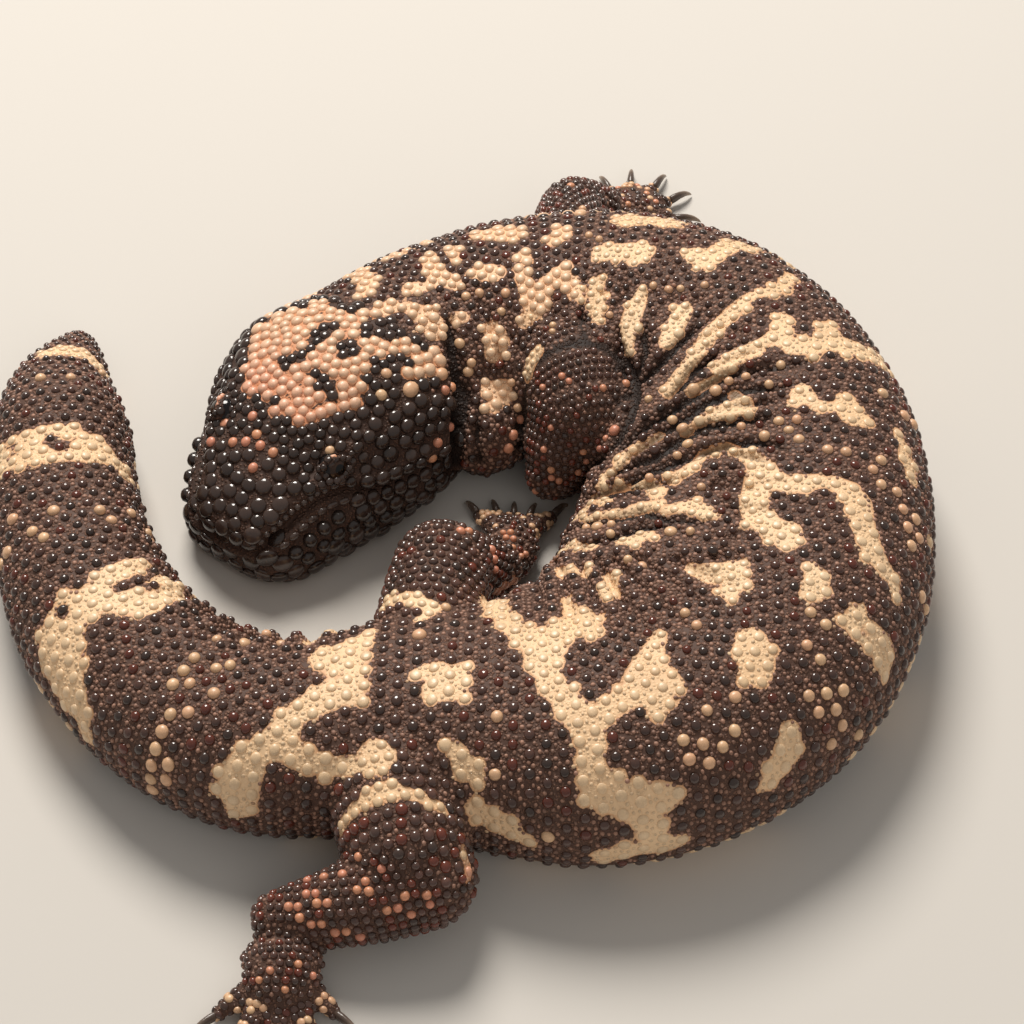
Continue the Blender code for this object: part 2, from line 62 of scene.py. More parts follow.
# ---------------------------------------------------------------------------- pose
# Name, plan x and y of the back's crest, half width towards the inside of the curl, half width
# towards the outside, height of the crest, height of the widest point.
BODY_STATIONS = (
    ("nape", -25.0, 25.5, 22.5, 21.5, 28.0, 12.5),
    ("neck", -13.0, 33.8, 24.0, 20.5, 28.5, 12.5),
    ("withers", 0.0, 37.0, 26.5, 22.0, 30.0, 13.0),
    ("shoulder", 14.0, 37.5, 28.0, 23.0, 32.0, 13.5),
    ("chest", 34.0, 31.5, 32.0, 23.5, 33.5, 14.0),
    ("front_ribs", 49.0, 13.0, 38.0, 24.0, 34.0, 14.0),
    ("middle_ribs", 53.5, -13.0, 42.0, 24.5, 34.0, 14.0),
    ("rear_ribs", 47.0, -38.5, 43.0, 26.0, 34.0, 14.0),
    ("flank", 31.5, -55.5, 43.0, 27.0, 33.5, 14.0),
    ("loin", 12.5, -62.0, 37.5, 26.0, 32.5, 13.5),
    ("pelvis", -10.0, -61.0, 24.0, 22.0, 30.0, 13.0),
    ("vent", -30.0, -60.5, 20.0, 20.4, 28.0, 12.5),
    ("tail_root", -44.0, -59.8, 18.2, 20.0, 27.0, 12.5),
    ("tail_turn", -66.0, -44.5, 15.4, 18.6, 26.0, 12.4),
    ("tail_middle", -80.5, -17.0, 14.3, 15.6, 25.0, 12.0),
    ("tail_rear", -85.0, 9.0, 13.4, 13.4, 23.5, 11.3),
    ("tail_taper", -86.3, 25.0, 10.0, 10.0, 17.0, 8.3),
    ("tail_neck", -85.4, 36.0, 5.9, 5.9, 10.2, 5.1),
    ("tail_end", -85.0, 43.5, 2.2, 2.2, 4.8, 2.6),
)
SECTION_REACH = 16.0       # a section lies square to the crest's run this far each way
NECK_TURN = 20.0           # length of neck over which sections turn from the head's line
SIDE_FULLNESS = 0.92       # below 1 the sides are fuller than an ellipse
BELLY_DROP = 1.25          # above 1 the underside is cut flat by the floor
TAIL_ROUNDING = 2.2        # length over which the tail's tip rounds off
NAPE_OVERLAP = 7.0         # the body runs on this far inside the head
SPINE_STEP = 0.5

HEAD_HEADING = math.radians(56.0)
HEAD_LENGTH = 50.0
HEAD_LEAN = 0.10           # sideways lean of the crown per unit of height
LEAN_FADE = 20.0
# Distance from the snout, half width, crown height, height of the widest point, mouth-line height.
HEAD_STATIONS = (
    (0.0, 6.0, 12.0, 5.0, 8.4),
    (1.6, 9.6, 14.2, 5.0, 9.6),
    (5.0, 12.8, 16.8, 5.1, 11.4),
    (11.0, 15.8, 20.0, 5.3, 12.8),
    (18.0, 18.2, 23.6, 5.8, 13.4),
    (26.0, 21.2, 26.6, 7.0, 13.4),
    (34.0, 23.4, 28.3, 8.4, 13.2),
    (40.5, 24.4, 29.0, 9.4, 13.0),
    (45.5, 23.6, 28.8, 10.0, 13.0),
    (50.0, 21.8, 28.2, 10.4, 13.0),
)
JAW_FULLNESS = 0.8
JAW_DEPTH = 1.3
CHIN_DEPTH = 0.45
CHIN_LENGTH = 9.0
JAW_START = 1.4
SNOUT_START = 1.5          # distance at which the flat of the snout's end begins to round over
EYE_RADIUS = 3.1
EYE_PLACE = (20.0, 12.2, 18.8)  # distance from the snout, offset from the midline, height

# Loose skin of the throat, between the jaw and the near front leg, like a limb.
THROAT = ((-9.0, 20.5, 12.0, 8.8), (-6.6, 16.0, 11.0, 9.6), (-5.0, 12.0, 10.0, 9.3))
THROAT_RUN = 8.0           # distance along the crest that the throat belongs to

# Limb points are plan x, plan y, height and radius.
LEGS = {
    "front_left": {
        "upper": ((9.5, 24.0, 18.0, 10.8), (12.6, 15.5, 18.8, 11.6), (13.8, 10.5, 18.2, 11.0)),
        "lower": ((12.2, 9.0, 16.0, 8.9), (9.2, 4.8, 12.0, 7.4), (7.4, 2.0, 8.8, 5.2)),
        "foot": (10.2, 6.2, 3.0),
        "toe_angles": (64.0, 44.0, 24.0, 4.0, -16.0),
        "toe_lengths": (2.8, 3.2, 3.4, 3.2, 2.8),
        "foot_size": (6.0, 5.0),
        "claw_length": 3.0,
    },
    "front_right": {
        "upper": ((12.0, 50.0, 16.0, 8.6), (11.5, 61.0, 12.5, 8.0), (12.0, 69.5, 9.6, 7.0)),
        "lower": ((12.5, 71.5, 9.0, 6.8), (15.5, 73.5, 7.2, 6.0), (19.0, 74.5, 5.4, 4.8)),
        "foot": (23.5, 75.5, 3.2),
        "toe_angles": (112.0, 86.0, 60.0, 34.0, 4.0),
        "toe_lengths": (6.0, 7.0, 7.5, 7.0, 6.0),
        "foot_size": (6.0, 5.6),
        "claw_length": 4.2,
    },
    "hind_left": {
        "upper": ((-16.0, -50.0, 15.0, 10.5), (-14.0, -35.0, 14.5, 10.0), (-12.8, -24.5, 13.0, 9.2)),
        "lower": ((-11.5, -23.5, 12.0, 8.4), (-6.5, -20.5, 8.0, 6.8), (-2.5, -18.0, 5.4, 5.0)),
        "foot": (0.0, -11.5, 3.2),
        "toe_angles": (124.0, 106.0, 88.0, 70.0, 50.0),
        "toe_lengths": (7.5, 5.8, 4.8, 5.2, 8.0),
        "foot_size": (7.0, 6.2),
        "claw_length": 3.4,
    },
    "hind_right": {
        "upper": ((-20.0, -68.0, 15.0, 12.0), (-19.5, -79.0, 14.0, 11.9), (-18.0, -86.0, 12.8, 11.4)),
        "lower": ((-15.0, -90.5, 10.8, 9.4), (-28.0, -95.0, 9.0, 7.4), (-40.0, -96.0, 6.2, 5.0)),
        "foot": (-39.0, -104.0, 3.3),
        "toe_angles": (-142.0, -116.0, -92.0, -68.0, -42.0),
        "toe_lengths": (9.5, 11.5, 11.0, 10.0, 8.0),
        "foot_size": (8.6, 8.4),
        "claw_length": 4.8,
    },
}
WRIST_SHARE = 0.72
WRIST_DROP = 0.8
PALM_SHARES = (0.88, 0.80)
PALM_REACH = 0.35
PALM_SQUASH = 0.72
PALM_TIP_DROP = 0.6
TOE_START = 0.45
TOE_RADIUS = 2.1
TOE_HEIGHTS = (2.7, 2.9)
TOE_TAPER = (1.08, 1.0, 0.84)
TOE_TIP_LIFT = 0.86
CLAW_RADIUS = 1.05
CLAW_BEND = 0.55

# ---------------------------------------------------------------------------- camera
VIEW_ELEVATION = math.radians(50.0)
VIEW_DISTANCE = 682.0
PICTURE_SIDE = 1024.0
FOCAL_PIXELS = 3596.0
SENSOR_WIDTH = 36.0

# ---------------------------------------------------------------------------- markings
# Each marking is a run of round dabs, x, y and radius, as seen through the camera's own
# 1024-unit square.  Dabs are laid on the skin where the camera sees them, and joined in order.
PALE_PATCHES = {
    "rib_m_tail": ((691, 392, 5), (705, 385, 4), (718, 378, 3), (730, 370, 3)),
    "rib_rag_foot": ((706, 421, 2), (718, 416, 4), (735, 411, 5), (752, 408, 5)),
    "inner_curl_edge": ((592, 500, 3), (612, 490, 3), (636, 485, 4), (652, 486, 7), (662, 492, 6)),
    "inner_row_foot": ((585, 519, 3), (600, 515, 3), (622, 511, 4)),
    "inner_corner": ((604, 478, 6), (599, 485, 4)),
    "inner_bead_pair": ((685, 432, 5), (690, 430, 4)),
    "nape_fan": ((350, 276, 7), (368, 277, 9), (364, 291, 7)),
    "nape_bar": ((384, 260, 4), (396, 256, 6), (410, 250, 6)),
    "nape_edge": ((428, 243, 4),),
    "neck_fork": ((430, 255, 5), (431, 268, 8), (441, 277, 9), (456, 286, 6)),
    "neck_fork_foot": ((441, 277, 7), (426, 286, 6), (409, 288, 6)),
    "neck_drop": ((451, 249, 6), (456, 260, 5)),
    "withers_oval": ((480, 234, 10), (495, 233, 12), (511, 234, 11)),
    "withers_low_oval": ((481, 272, 10), (496, 272, 10)),
    "withers_chip": ((553, 242, 6), (565, 235, 6), (556, 228, 4)),
    "withers_speck": ((523, 256, 6), (529, 262, 4)),
    "shoulder_strand": ((520, 275, 6), (528, 287, 8), (530, 299, 8), (535, 312, 9), (524, 322, 6)),
    "shoulder_link": ((547, 281, 7), (543, 295, 6), (546, 307, 4)),
    "shoulder_bar": ((566, 266, 7), (556, 273, 7), (570, 281, 9), (576, 294, 7)),
    "second_bar": ((597, 283, 7), (598, 296, 8), (597, 308, 7), (597, 319, 5)),
    "third_bar": ((641, 292, 6), (636, 305, 9), (631, 320, 9), (627, 335, 8), (627, 350, 6)),
    "fourth_bar": ((684, 311, 9), (675, 326, 9), (667, 341, 8)),
    "neck_side_bar": ((493, 330, 9), (498, 343, 11), (494, 353, 9)),
    "neck_low_blotch": ((489, 391, 9), (503, 388, 8), (503, 399, 8), (493, 407, 6)),
    "armpit_bar": ((537, 352, 8), (530, 365, 8), (528, 375, 7)),
    "nape_pair": ((455, 318, 6), (464, 317, 5)),
    "chest_slab": ((629, 220, 13), (650, 220, 14), (672, 222, 12)),
    "chest_low_slab": ((601, 253, 9), (622, 251, 11), (645, 250, 10), (633, 261, 7)),
    "chest_lobes": ((690, 254, 8), (704, 262, 8), (720, 251, 11), (738, 244, 11), (752, 248, 8)),
    "shoulder_streak": (
        (790, 276, 8), (788, 287, 6), (768, 291, 5), (748, 298, 5), (733, 311, 7), (722, 323, 8),
        (710, 335, 8), (702, 346, 8), (690, 362, 6), (680, 376, 7), (668, 392, 6)),
    "rib_m": (
        (718, 368, 7), (736, 358, 9), (756, 350, 9), (775, 337, 10), (790, 345, 11), (810, 348, 10),
        (830, 342, 13), (850, 347, 12), (870, 355, 10), (885, 366, 9)),
    "rib_m_left_horn": ((780, 338, 12), (784, 319, 9)),
    "rib_m_right_horn": ((835, 340, 12), (828, 329, 11)),
    "rib_twins": (
        (797, 401, 9), (802, 390, 9), (813, 404, 7), (830, 408, 5), (846, 402, 12), (852, 415, 13),
        (864, 420, 9)),
    "rib_inner_rag": ((706, 419, 4), (717, 413, 6), (731, 409, 8), (745, 405, 8), (735, 396, 6)),
    "inner_long_streak": ((618, 463, 6), (630, 455, 7), (645, 445, 6), (661, 437, 4)),
    "big_hook": (
        (672, 480, 5), (690, 470, 6), (705, 457, 8), (725, 450, 7), (743, 453, 9), (760, 464, 11),
        (772, 478, 12), (790, 487, 9), (808, 482, 9), (826, 480, 8), (845, 488, 11), (858, 501, 14),
        (862, 520, 13), (868, 540, 12), (876, 556, 11), (888, 575, 9), (896, 590, 6)),
    "big_hook_foot": (
        (755, 472, 9), (757, 488, 14), (753, 505, 13), (758, 520, 13), (776, 531, 15), (788, 533, 14),
        (786, 543, 10)),
    "inner_pad": ((649, 485, 7), (657, 494, 7)),
    "inner_row": ((620, 513, 5), (640, 508, 6), (661, 503, 5)),
    "inner_rag": ((665, 510, 5), (690, 506, 8), (705, 512, 9), (716, 515, 4)),
    "inner_low_rag": ((620, 541, 4), (634, 540, 8), (648, 534, 6)),
    "inner_curl": ((578, 516, 7), (592, 506, 6), (610, 500, 4)),
    "inner_stripe": ((498, 590, 5), (515, 580, 5), (565, 572, 5), (587, 571, 6)),
    "inner_thin_stripe": ((565, 548, 5), (592, 546, 4)),
    "flank_comma": ((613, 582, 8), (607, 592, 8)),
    "flank_wedge": ((690, 569, 5), (710, 574, 10), (730, 571, 15), (735, 580, 13), (729, 592, 9)),
    "flank_chip": ((813, 567, 6), (816, 582, 12), (804, 592, 6), (818, 594, 7)),
    "flank_oval": ((751, 641, 16), (754, 656, 21), (757, 671, 16)),
    "far_flank_blotch": ((858, 609, 9), (856, 625, 13), (871, 636, 15), (884, 650, 16), (885, 667, 11)),
    "outer_streak": ((898, 436, 5), (903, 450, 7), (909, 465, 8), (913, 480, 7)),
    "outer_edge_slab": ((929, 541, 6),),
    "rear_flank_leaf": ((790, 733, 12), (789, 750, 15), (781, 765, 13), (771, 778, 9), (760, 789, 4)),
    "saddle_arm": ((486, 601, 6), (500, 613, 13), (514, 628, 11), (535, 640, 17)),
    "saddle_lobe": ((540, 642, 17), (557, 634, 16), (580, 619, 17), (593, 629, 12), (566, 606, 6)),
    "saddle_stem": (
        (547, 642, 22), (545, 660, 20), (546, 675, 14), (557, 692, 13), (571, 708, 16), (586, 723, 18),
        (592, 741, 15), (591, 757, 12), (593, 774, 15), (602, 789, 20), (622, 800, 18), (645, 801, 18),
        (664, 798, 16)),
    "saddle_branch": ((596, 716, 10), (620, 702, 12), (641, 690, 18), (656, 686, 20), (656, 706, 13)),
    "saddle_branch_tip": ((646, 670, 18), (652, 652, 12), (658, 638, 8)),
    "saddle_branch_side": ((665, 676, 12), (675, 684, 9)),
    "saddle_foot": (
        (640, 808, 18), (650, 826, 15), (657, 845, 13), (676, 843, 11), (626, 851, 11), (601, 857, 12)),
    "loin_square": ((430, 672, 11), (458, 671, 10), (457, 691, 10), (433, 691, 12), (442, 680, 12)),
    "loin_nick": ((426, 614, 6), (418, 620, 4)),
    "loin_leaf": ((455, 750, 9), (463, 764, 12), (476, 775, 9)),
    "loin_long_leaf": ((470, 808, 6), (485, 815, 11), (506, 826, 12), (526, 839, 8)),
    "hip_band": (
        (370, 631, 7), (360, 646, 11), (326, 656, 17), (350, 662, 15), (340, 680, 19), (349, 695, 14),
        (320, 697, 17), (305, 711, 14), (286, 726, 14), (275, 741, 15), (257, 756, 16), (243, 770, 20),
        (238, 790, 21), (240, 806, 16)),
    "hip_band_tongue": (
        (285, 746, 14), (302, 760, 11), (325, 766, 9), (350, 766, 10), (375, 764, 13), (386, 756, 11),
        (370, 747, 10)),
    "knee_base": ((384, 605, 8), (401, 598, 8), (421, 602, 8), (437, 609, 5)),
    "tail_band": (
        (108, 582, 15), (138, 570, 17), (160, 580, 13), (178, 591, 9), (150, 603, 13), (120, 600, 15),
        (92, 597, 18), (70, 611, 22), (60, 640, 27), (58, 664, 29), (70, 690, 22), (80, 715, 15),
        (88, 737, 10)),
    "tail_ring": (
        (-6, 472, 19), (8, 457, 19), (32, 446, 22), (60, 443, 24), (85, 447, 20), (102, 453, 14),
        (118, 464, 9), (130, 481, 6)),
    "tail_tip_ring": ((46, 354, 11), (61, 350, 16), (79, 352, 15), (93, 361, 10), (103, 371, 7)),
    "crown_left": ((266, 326, 10), (258, 345, 13), (254, 366, 13), (254, 388, 11)),
    "crown_front": ((286, 318, 14), (288, 345, 20), (282, 375, 19), (275, 400, 13)),
    "crown_middle": ((318, 306, 13), (320, 335, 20), (316, 365, 22), (308, 395, 18), (300, 415, 9)),
    "crown_right": ((345, 322, 16), (352, 352, 18), (346, 380, 20), (341, 402, 13), (322, 412, 8)),
    "crown_rear": ((366, 318, 12), (372, 348, 10), (398, 347, 8), (424, 353, 11), (438, 364, 8)),
    "crown_rear_top": ((382, 310, 9), (405, 309, 9), (425, 316, 12), (436, 329, 11)),
    "crown_edge_row": ((404, 373, 7), (422, 375, 7), (439, 373, 5)),
    "thigh_rim": (
        (340, 831, 6), (352, 811, 6), (369, 796, 7), (390, 789, 8), (411, 795, 5), (431, 801, 5),
        (445, 812, 4)),
    "thigh_far_rim": ((463, 848, 4), (467, 862, 5), (468, 878, 5)),
}
DARK_GAPS = {
    "rib_m_notch": ((775, 353, 8), (772, 350, 7)),
    "hook_pocket": ((784, 508, 7), (806, 508, 8), (828, 514, 9)),
    "curl_blotch": ((592, 508, 5), (595, 511, 4)),
    "saddle_bite": ((528, 606, 9), (543, 608, 10)),
    "far_flank_bead": ((865, 630, 3), (866, 632, 3)),
    "hip_blotch": ((311, 729, 9), (329, 737, 14), (346, 739, 9), (331, 748, 9)),
    "hip_slit": ((328, 676, 4), (346, 676, 4)),
    "tail_slit": ((117, 588, 5), (132, 582, 6), (146, 575, 6), (156, 571, 4)),
    "tail_bead": ((62, 612, 6), (63, 613, 6)),
    "tail_low_slit": ((45, 681, 5), (52, 692, 8), (59, 706, 6)),
    "ring_slit": ((50, 442, 8), (60, 442, 8), (70, 442, 8)),
    "ring_spot": ((11, 450, 8), (13, 451, 8)),
    "crown_spot_1": ((293, 308, 10), (300, 304, 8)),
    "crown_spot_2": ((341, 304, 10), (344, 296, 10)),
    "crown_spot_3": ((311, 343, 9), (323, 335, 8), (334, 327, 8)),
    "crown_spot_4": ((281, 366, 7), (291, 361, 8), (299, 356, 7)),
    "crown_spot_5": ((343, 355, 10), (348, 349, 8)),
    "crown_spot_6": ((371, 332, 10), (388, 336, 9)),
    "crown_spot_7": ((399, 320, 11), (404, 325, 10)),
    "crown_spot_8": ((397, 361, 10), (402, 361, 10)),
    "crown_spot_9": ((320, 378, 9), (328, 390, 9)),
    "crown_spot_10": ((423, 343, 8), (428, 345, 7)),
    "crown_spot_11": ((277, 398, 7), (271, 406, 7)),
    "crown_gap": ((366, 375, 5), (368, 395, 6), (390, 386, 5), (418, 388, 6)),
}
# Lone pale and orange beads: x and y.
LONE_BEADS = {
    "jowl": ((447, 384), (452, 391), (448, 432), (442, 438), (437, 455)),
    "inner_dots": ((592, 530), (607, 529), (651, 474), (794, 443), (747, 384)),
    "withers": (
        (574, 215), (583, 211), (592, 236), (600, 237), (471, 300), (481, 298), (506, 296), (505, 309),
        (553, 326), (549, 331), (513, 380), (523, 407), (446, 378)),
    "ribs": ((655, 285), (668, 286), (681, 285), (710, 284), (612, 316)),
    "inner_flank": (
        (775, 378), (784, 370), (735, 386), (719, 396), (693, 393), (648, 400), (678, 418), (688, 432),
        (694, 450), (675, 457), (706, 489)),
    "rib_row": (
        (748, 430), (769, 432), (788, 434), (800, 425), (780, 422), (825, 450), (855, 456), (874, 456),
        (871, 468), (888, 483), (896, 496)),
    "outer": (
        (884, 400), (899, 409), (909, 416), (903, 517), (917, 517), (910, 534), (918, 533), (915, 550),
        (921, 595), (923, 610)),
    "flank": (
        (590, 528), (606, 530), (680, 530), (692, 536), (630, 565), (647, 563), (682, 610), (693, 627),
        (818, 612), (825, 632), (813, 647), (818, 668), (820, 692), (838, 693), (803, 698), (825, 711),
        (842, 713), (715, 707), (733, 706), (738, 725), (681, 737), (703, 746), (723, 755), (685, 759),
        (703, 768), (826, 750), (843, 732), (856, 730), (505, 713), (497, 773), (540, 838)),
    "loin": ((420, 634), (448, 604)),
    "tail_base": (
        (215, 636), (247, 641), (265, 636), (276, 641), (201, 651), (187, 667), (210, 667), (231, 667),
        (174, 688), (198, 685), (167, 709), (188, 704), (210, 701), (160, 730), (155, 748), (155, 762),
        (173, 760), (155, 775), (172, 776), (155, 787)),
    "tail": (
        (57, 508), (97, 505), (15, 517), (115, 525), (131, 519), (45, 540), (10, 548), (146, 529),
        (151, 538), (29, 533), (47, 380), (70, 379), (105, 378), (3, 560)),
    "snout": (
        (227, 422), (252, 420), (231, 438), (254, 433), (240, 448), (211, 447), (261, 449), (276, 450),
        (254, 465)),
    "eyelid": ((327, 456), (333, 453)),
    "temple": ((378, 396), (406, 393), (389, 376), (467, 341), (472, 357), (465, 367)),
    "left_arm": (
        (560, 375), (568, 378), (546, 386), (601, 391), (553, 428), (511, 449), (543, 450), (555, 470),
        (548, 477), (560, 477), (537, 490), (508, 436), (577, 470), (583, 462), (590, 456), (597, 449),
        (605, 443), (617, 430), (632, 388), (519, 420)),
    "left_knee": (
        (463, 535), (473, 535), (490, 548), (492, 560), (493, 574), (489, 588), (503, 530), (512, 533),
        (503, 540), (513, 541), (514, 549), (520, 557), (527, 551)),
    "right_shank": (
        (308, 882), (322, 880), (305, 893), (319, 893), (286, 905), (300, 905), (314, 906), (327, 905),
        (300, 919), (314, 921), (326, 921), (338, 928), (352, 934), (366, 937), (360, 893), (372, 893),
        (367, 877), (378, 870), (385, 912), (405, 895), (425, 890), (410, 915), (395, 905), (430, 905),
        (345, 870), (357, 864)),
    "right_foot": ((270, 965), (295, 962), (310, 978), (262, 978), (285, 985)),
    "far_hand": ((571, 187), (616, 188), (650, 192), (655, 201), (628, 204), (636, 186)),
}
# The near arm's bulge, where it covers the flank: small beads, no folds.
ARM_BULGE = ((566, 372, 18), (585, 380, 30), (600, 392, 26), (596, 415, 24), (585, 435, 22))

# Creases of the skin, laid the same way; a negative radius is a crease that fades out.
FOLDS = {
    "neck": (
        (445, 300, -6), (450, 318, 0), (452, 345, 4), (457, 368, 5), (463, 390, 6), (460, 412, 6),
        (455, 440, 6), (452, 470, 6)),
    "throat": ((478, 400, -4), (476, 430, 2), (480, 462, 2)),
    "arm_edge": (
        (532, 376, 0), (542, 357, 3), (560, 347, 4), (585, 343, 4), (607, 349, 4), (623, 361, 5),
        (633, 379, 5), (634, 400, 5), (628, 420, 5), (616, 440, 5), (602, 458, 5), (588, 474, 4)),
    "arm_front": ((530, 378, 2), (525, 400, 3), (522, 425, 4), (522, 450, 4)),
    "shoulder_inner": ((580, 300, -5), (582, 320, 2), (585, 342, 2)),
    "second_gap": ((617, 322, -4), (620, 350, 2), (617, 370, 2)),
    "third_gap": ((649, 312, -5), (643, 340, 3), (645, 352, 2), (636, 372, 1)),
    "fourth_gap": ((704, 314, -5), (690, 332, 2), (670, 352, 3), (652, 370, 3), (635, 384, 3), (618, 402, 1)),
    "strand_gap": (
        (748, 362, -6), (735, 370, 2), (715, 380, 4), (690, 397, 4), (667, 412, 4), (647, 425, 4),
        (622, 446, 2)),
    "long_strand_inside": ((722, 346, -5), (707, 359, 2), (692, 371, 3), (680, 386, 2), (668, 398, -2)),
    "upper_gap": (
        (800, 384, -6), (780, 386, 1), (750, 387, 3), (735, 390, 4), (705, 402, 4), (677, 422, 4),
        (655, 438, 3), (628, 456, 0)),
    "high_wrinkle": ((840, 360, -6), (800, 362, 0), (765, 366, 1), (735, 374, 0)),
    "middle_gap": (
        (786, 424, -6), (760, 417, 2), (735, 420, 3), (702, 425, 4), (685, 435, 4), (655, 457, 4),
        (635, 462, 3), (608, 476, 1)),
    "triangle_gap": ((790, 400, -6), (760, 401, 0), (735, 403, -2)),
    "arch_gap": (
        (800, 452, -6), (785, 447, 0), (760, 440, 3), (735, 441, 4), (700, 450, 3), (667, 465, 3),
        (645, 472, 3), (620, 485, 3), (600, 490, 3), (583, 501, 1)),
    "under_arch": ((690, 474, -6), (667, 480, 1), (635, 487, 3), (615, 492, 3), (592, 495, 2)),
    "low_gap": (
        (722, 520, -6), (700, 522, 0), (660, 517, 2), (645, 512, 3), (620, 517, 3), (592, 522, 3),
        (565, 535, 2)),
    "lowest_gap": ((700, 541, -6), (670, 525, -1), (642, 526, 2), (617, 535, 2), (585, 543, 2)),
    "side_wrinkle": ((790, 470, -7), (760, 458, -1), (740, 452, -1)),
}


# ---------------------------------------------------------------------------- curves
def natural_curve(knots, values, at):
    """Values of the natural cubic curve through the knots at an array of places."""
    knots = np.asarray(knots, float)
    values = np.asarray(values, float)
    steps = np.diff(knots)
    slopes = np.diff(values, axis=0) / steps[:, None]
    matrix = np.eye(len(knots))
    right = np.zeros_like(values)
    for i in range(1, len(knots) - 1):
        matrix[i, i - 1:i + 2] = (steps[i - 1], 2.0 * (steps[i - 1] + steps[i]), steps[i])
        right[i] = 6.0 * (slopes[i] - slopes[i - 1])
    bends = np.linalg.solve(matrix, right)
    at = np.atleast_1d(np.asarray(at, float))
    i = np.clip(np.searchsorted(knots, at) - 1, 0, len(knots) - 2)
    h = steps[i][:, None]
    a = knots[i + 1][:, None] - at[:, None]
    b = at[:, None] - knots[i][:, None]
    cubic = (bends[i] * a ** 3 + bends[i + 1] * b ** 3) / (6.0 * h)
    first, last = (values[k] / h - bends[k] * h / 6.0 for k in (i, i + 1))
    return cubic + first * a + last * b


def steady_curve(knots, values, at):
    """Values of a smooth curve that never overshoots its knots, at an array of places."""
    knots = np.asarray(knots, float)
    values = np.asarray(values, float)
    steps = np.diff(knots)
    slopes = np.diff(values, axis=0) / steps[:, None]
    tangents = np.zeros_like(values)
    tangents[0] = slopes[0]
    tangents[-1] = slopes[-1]
    before = slopes[:-1]
    after = slopes[1:]
    same_way = before * after > 0.0
    total = np.where(same_way, before + after, 1.0)
    tangents[1:-1] = np.where(same_way, 2.0 * before * after / total, 0.0)
    at = np.atleast_1d(np.asarray(at, float))
    i = np.clip(np.searchsorted(knots, at) - 1, 0, len(knots) - 2)
    h = steps[i][:, None]
    f = np.clip((at - knots[i])[:, None] / h, 0.0, 1.0)
    start = (1.0 + 2.0 * f) * (1.0 - f) ** 2 * values[i] + f * (1.0 - f) ** 2 * h * tangents[i]
    return start + f * f * (3.0 - 2.0 * f) * values[i + 1] + f * f * (f - 1.0) * h * tangents[i + 1]


def signed_power(value, power):
    return np.sign(value) * np.abs(value) ** power


def smooth_step(low, high, value):
    f = np.clip((np.asarray(value, float) - low) / (high - low), 0.0, 1.0)
    return f * f * (3.0 - 2.0 * f)


def unit(vectors):
    return vectors / np.maximum(np.linalg.norm(vectors, axis=-1, keepdims=True), 1e-9)


def blend(first, second, share):
    first = np.asarray(first, float)
    return first + (np.asarray(second, float) - first) * share


def place_tree(places):
    """Nearest-place look-up over an array of places."""
    tree = KDTree(len(places))
    for k, place in enumerate(places.tolist()):
        tree.insert(place, k)
    tree.balance()
    return tree


# ---------------------------------------------------------------------------- body and head form
class Spine:
    """The crest of the curled back, with the section sizes along it."""

    def __init__(self):
        table = np.array([station[1:] for station in BODY_STATIONS])
        chords = np.linalg.norm(np.diff(table[:, :2], axis=0), axis=1)
        knots = np.concatenate(([0.0], np.cumsum(chords)))
        self.length = float(knots[-1])
        self.s = np.arange(-NAPE_OVERLAP, self.length + SPINE_STEP, SPINE_STEP)
        inside = np.clip(self.s, 0.0, self.length)
        back = np.array((math.cos(HEAD_HEADING), math.sin(HEAD_HEADING)))

        def plan_at(s):
            return natural_curve(knots, table[:, :2], np.clip(s, 0.0, self.length))

        self.plan = plan_at(self.s) + np.minimum(self.s, 0.0)[:, None] * back
        self.sizes = steady_curve(knots, table[:, 2:], inside)
        reach = np.minimum(np.minimum(SECTION_REACH, inside), self.length - inside) + 0.5
        ahead = plan_at(inside + reach) - plan_at(inside - reach)
        heading = np.arctan2(ahead[:, 1], ahead[:, 0])
        turned = 1.0 - smooth_step(0.0, NECK_TURN, inside)
        heading = heading + turned * (HEAD_HEADING - heading)
        self.heading = np.unwrap(heading)
        self.bend = -np.gradient(self.heading, self.s)

    def at(self, s):
        """Plan point, section sizes, side direction and bend at an array of distances."""
        columns = (*self.plan.T, *self.sizes.T, self.heading, self.bend)
        x, y, *sizes, heading, bend = (np.interp(s, self.s, column) for column in columns)
        return np.stack((x, y), -1), sizes, np.stack((np.sin(heading), -np.cos(heading)), -1), bend


def body_points(spine, s, turn, inset=0.0, floor=0.0):
    """Points of the body's outline at distances along the crest and turns round the section."""
    plan, (inner, outer, height, girth), side, _ = spine.at(s)
    over = np.clip((s - (spine.length - TAIL_ROUNDING)) / TAIL_ROUNDING, 0.0, 1.0)
    rounding = np.sqrt(np.maximum(1.0 - over * over, 0.0))
    across = signed_power(np.cos(turn), SIDE_FULLNESS)
    rise = signed_power(np.sin(turn), SIDE_FULLNESS)
    half = (np.where(across > 0.0, inner, outer) - inset) * across * rounding
    top = girth + (height - girth - inset) * rise
    low = np.maximum(girth + girth * BELLY_DROP * rise, floor)
    z = girth + (np.where(rise > 0.0, top, low) - girth) * rounding
    return np.concatenate((plan + side * half[..., None], z[..., None]), -1)


def head_frame():
    """Snout point, and plan directions from snout to nape and to the animal's left."""
    back = np.array((math.cos(HEAD_HEADING), math.sin(HEAD_HEADING)))
    left = np.array((math.sin(HEAD_HEADING), -math.cos(HEAD_HEADING)))
    return np.array(BODY_STATIONS[0][1:3]) - back * HEAD_LENGTH, back, left


def head_lean(distance, z):
    return HEAD_LEAN * np.clip((HEAD_LENGTH - distance) / LEAN_FADE, 0.0, 1.0) * z


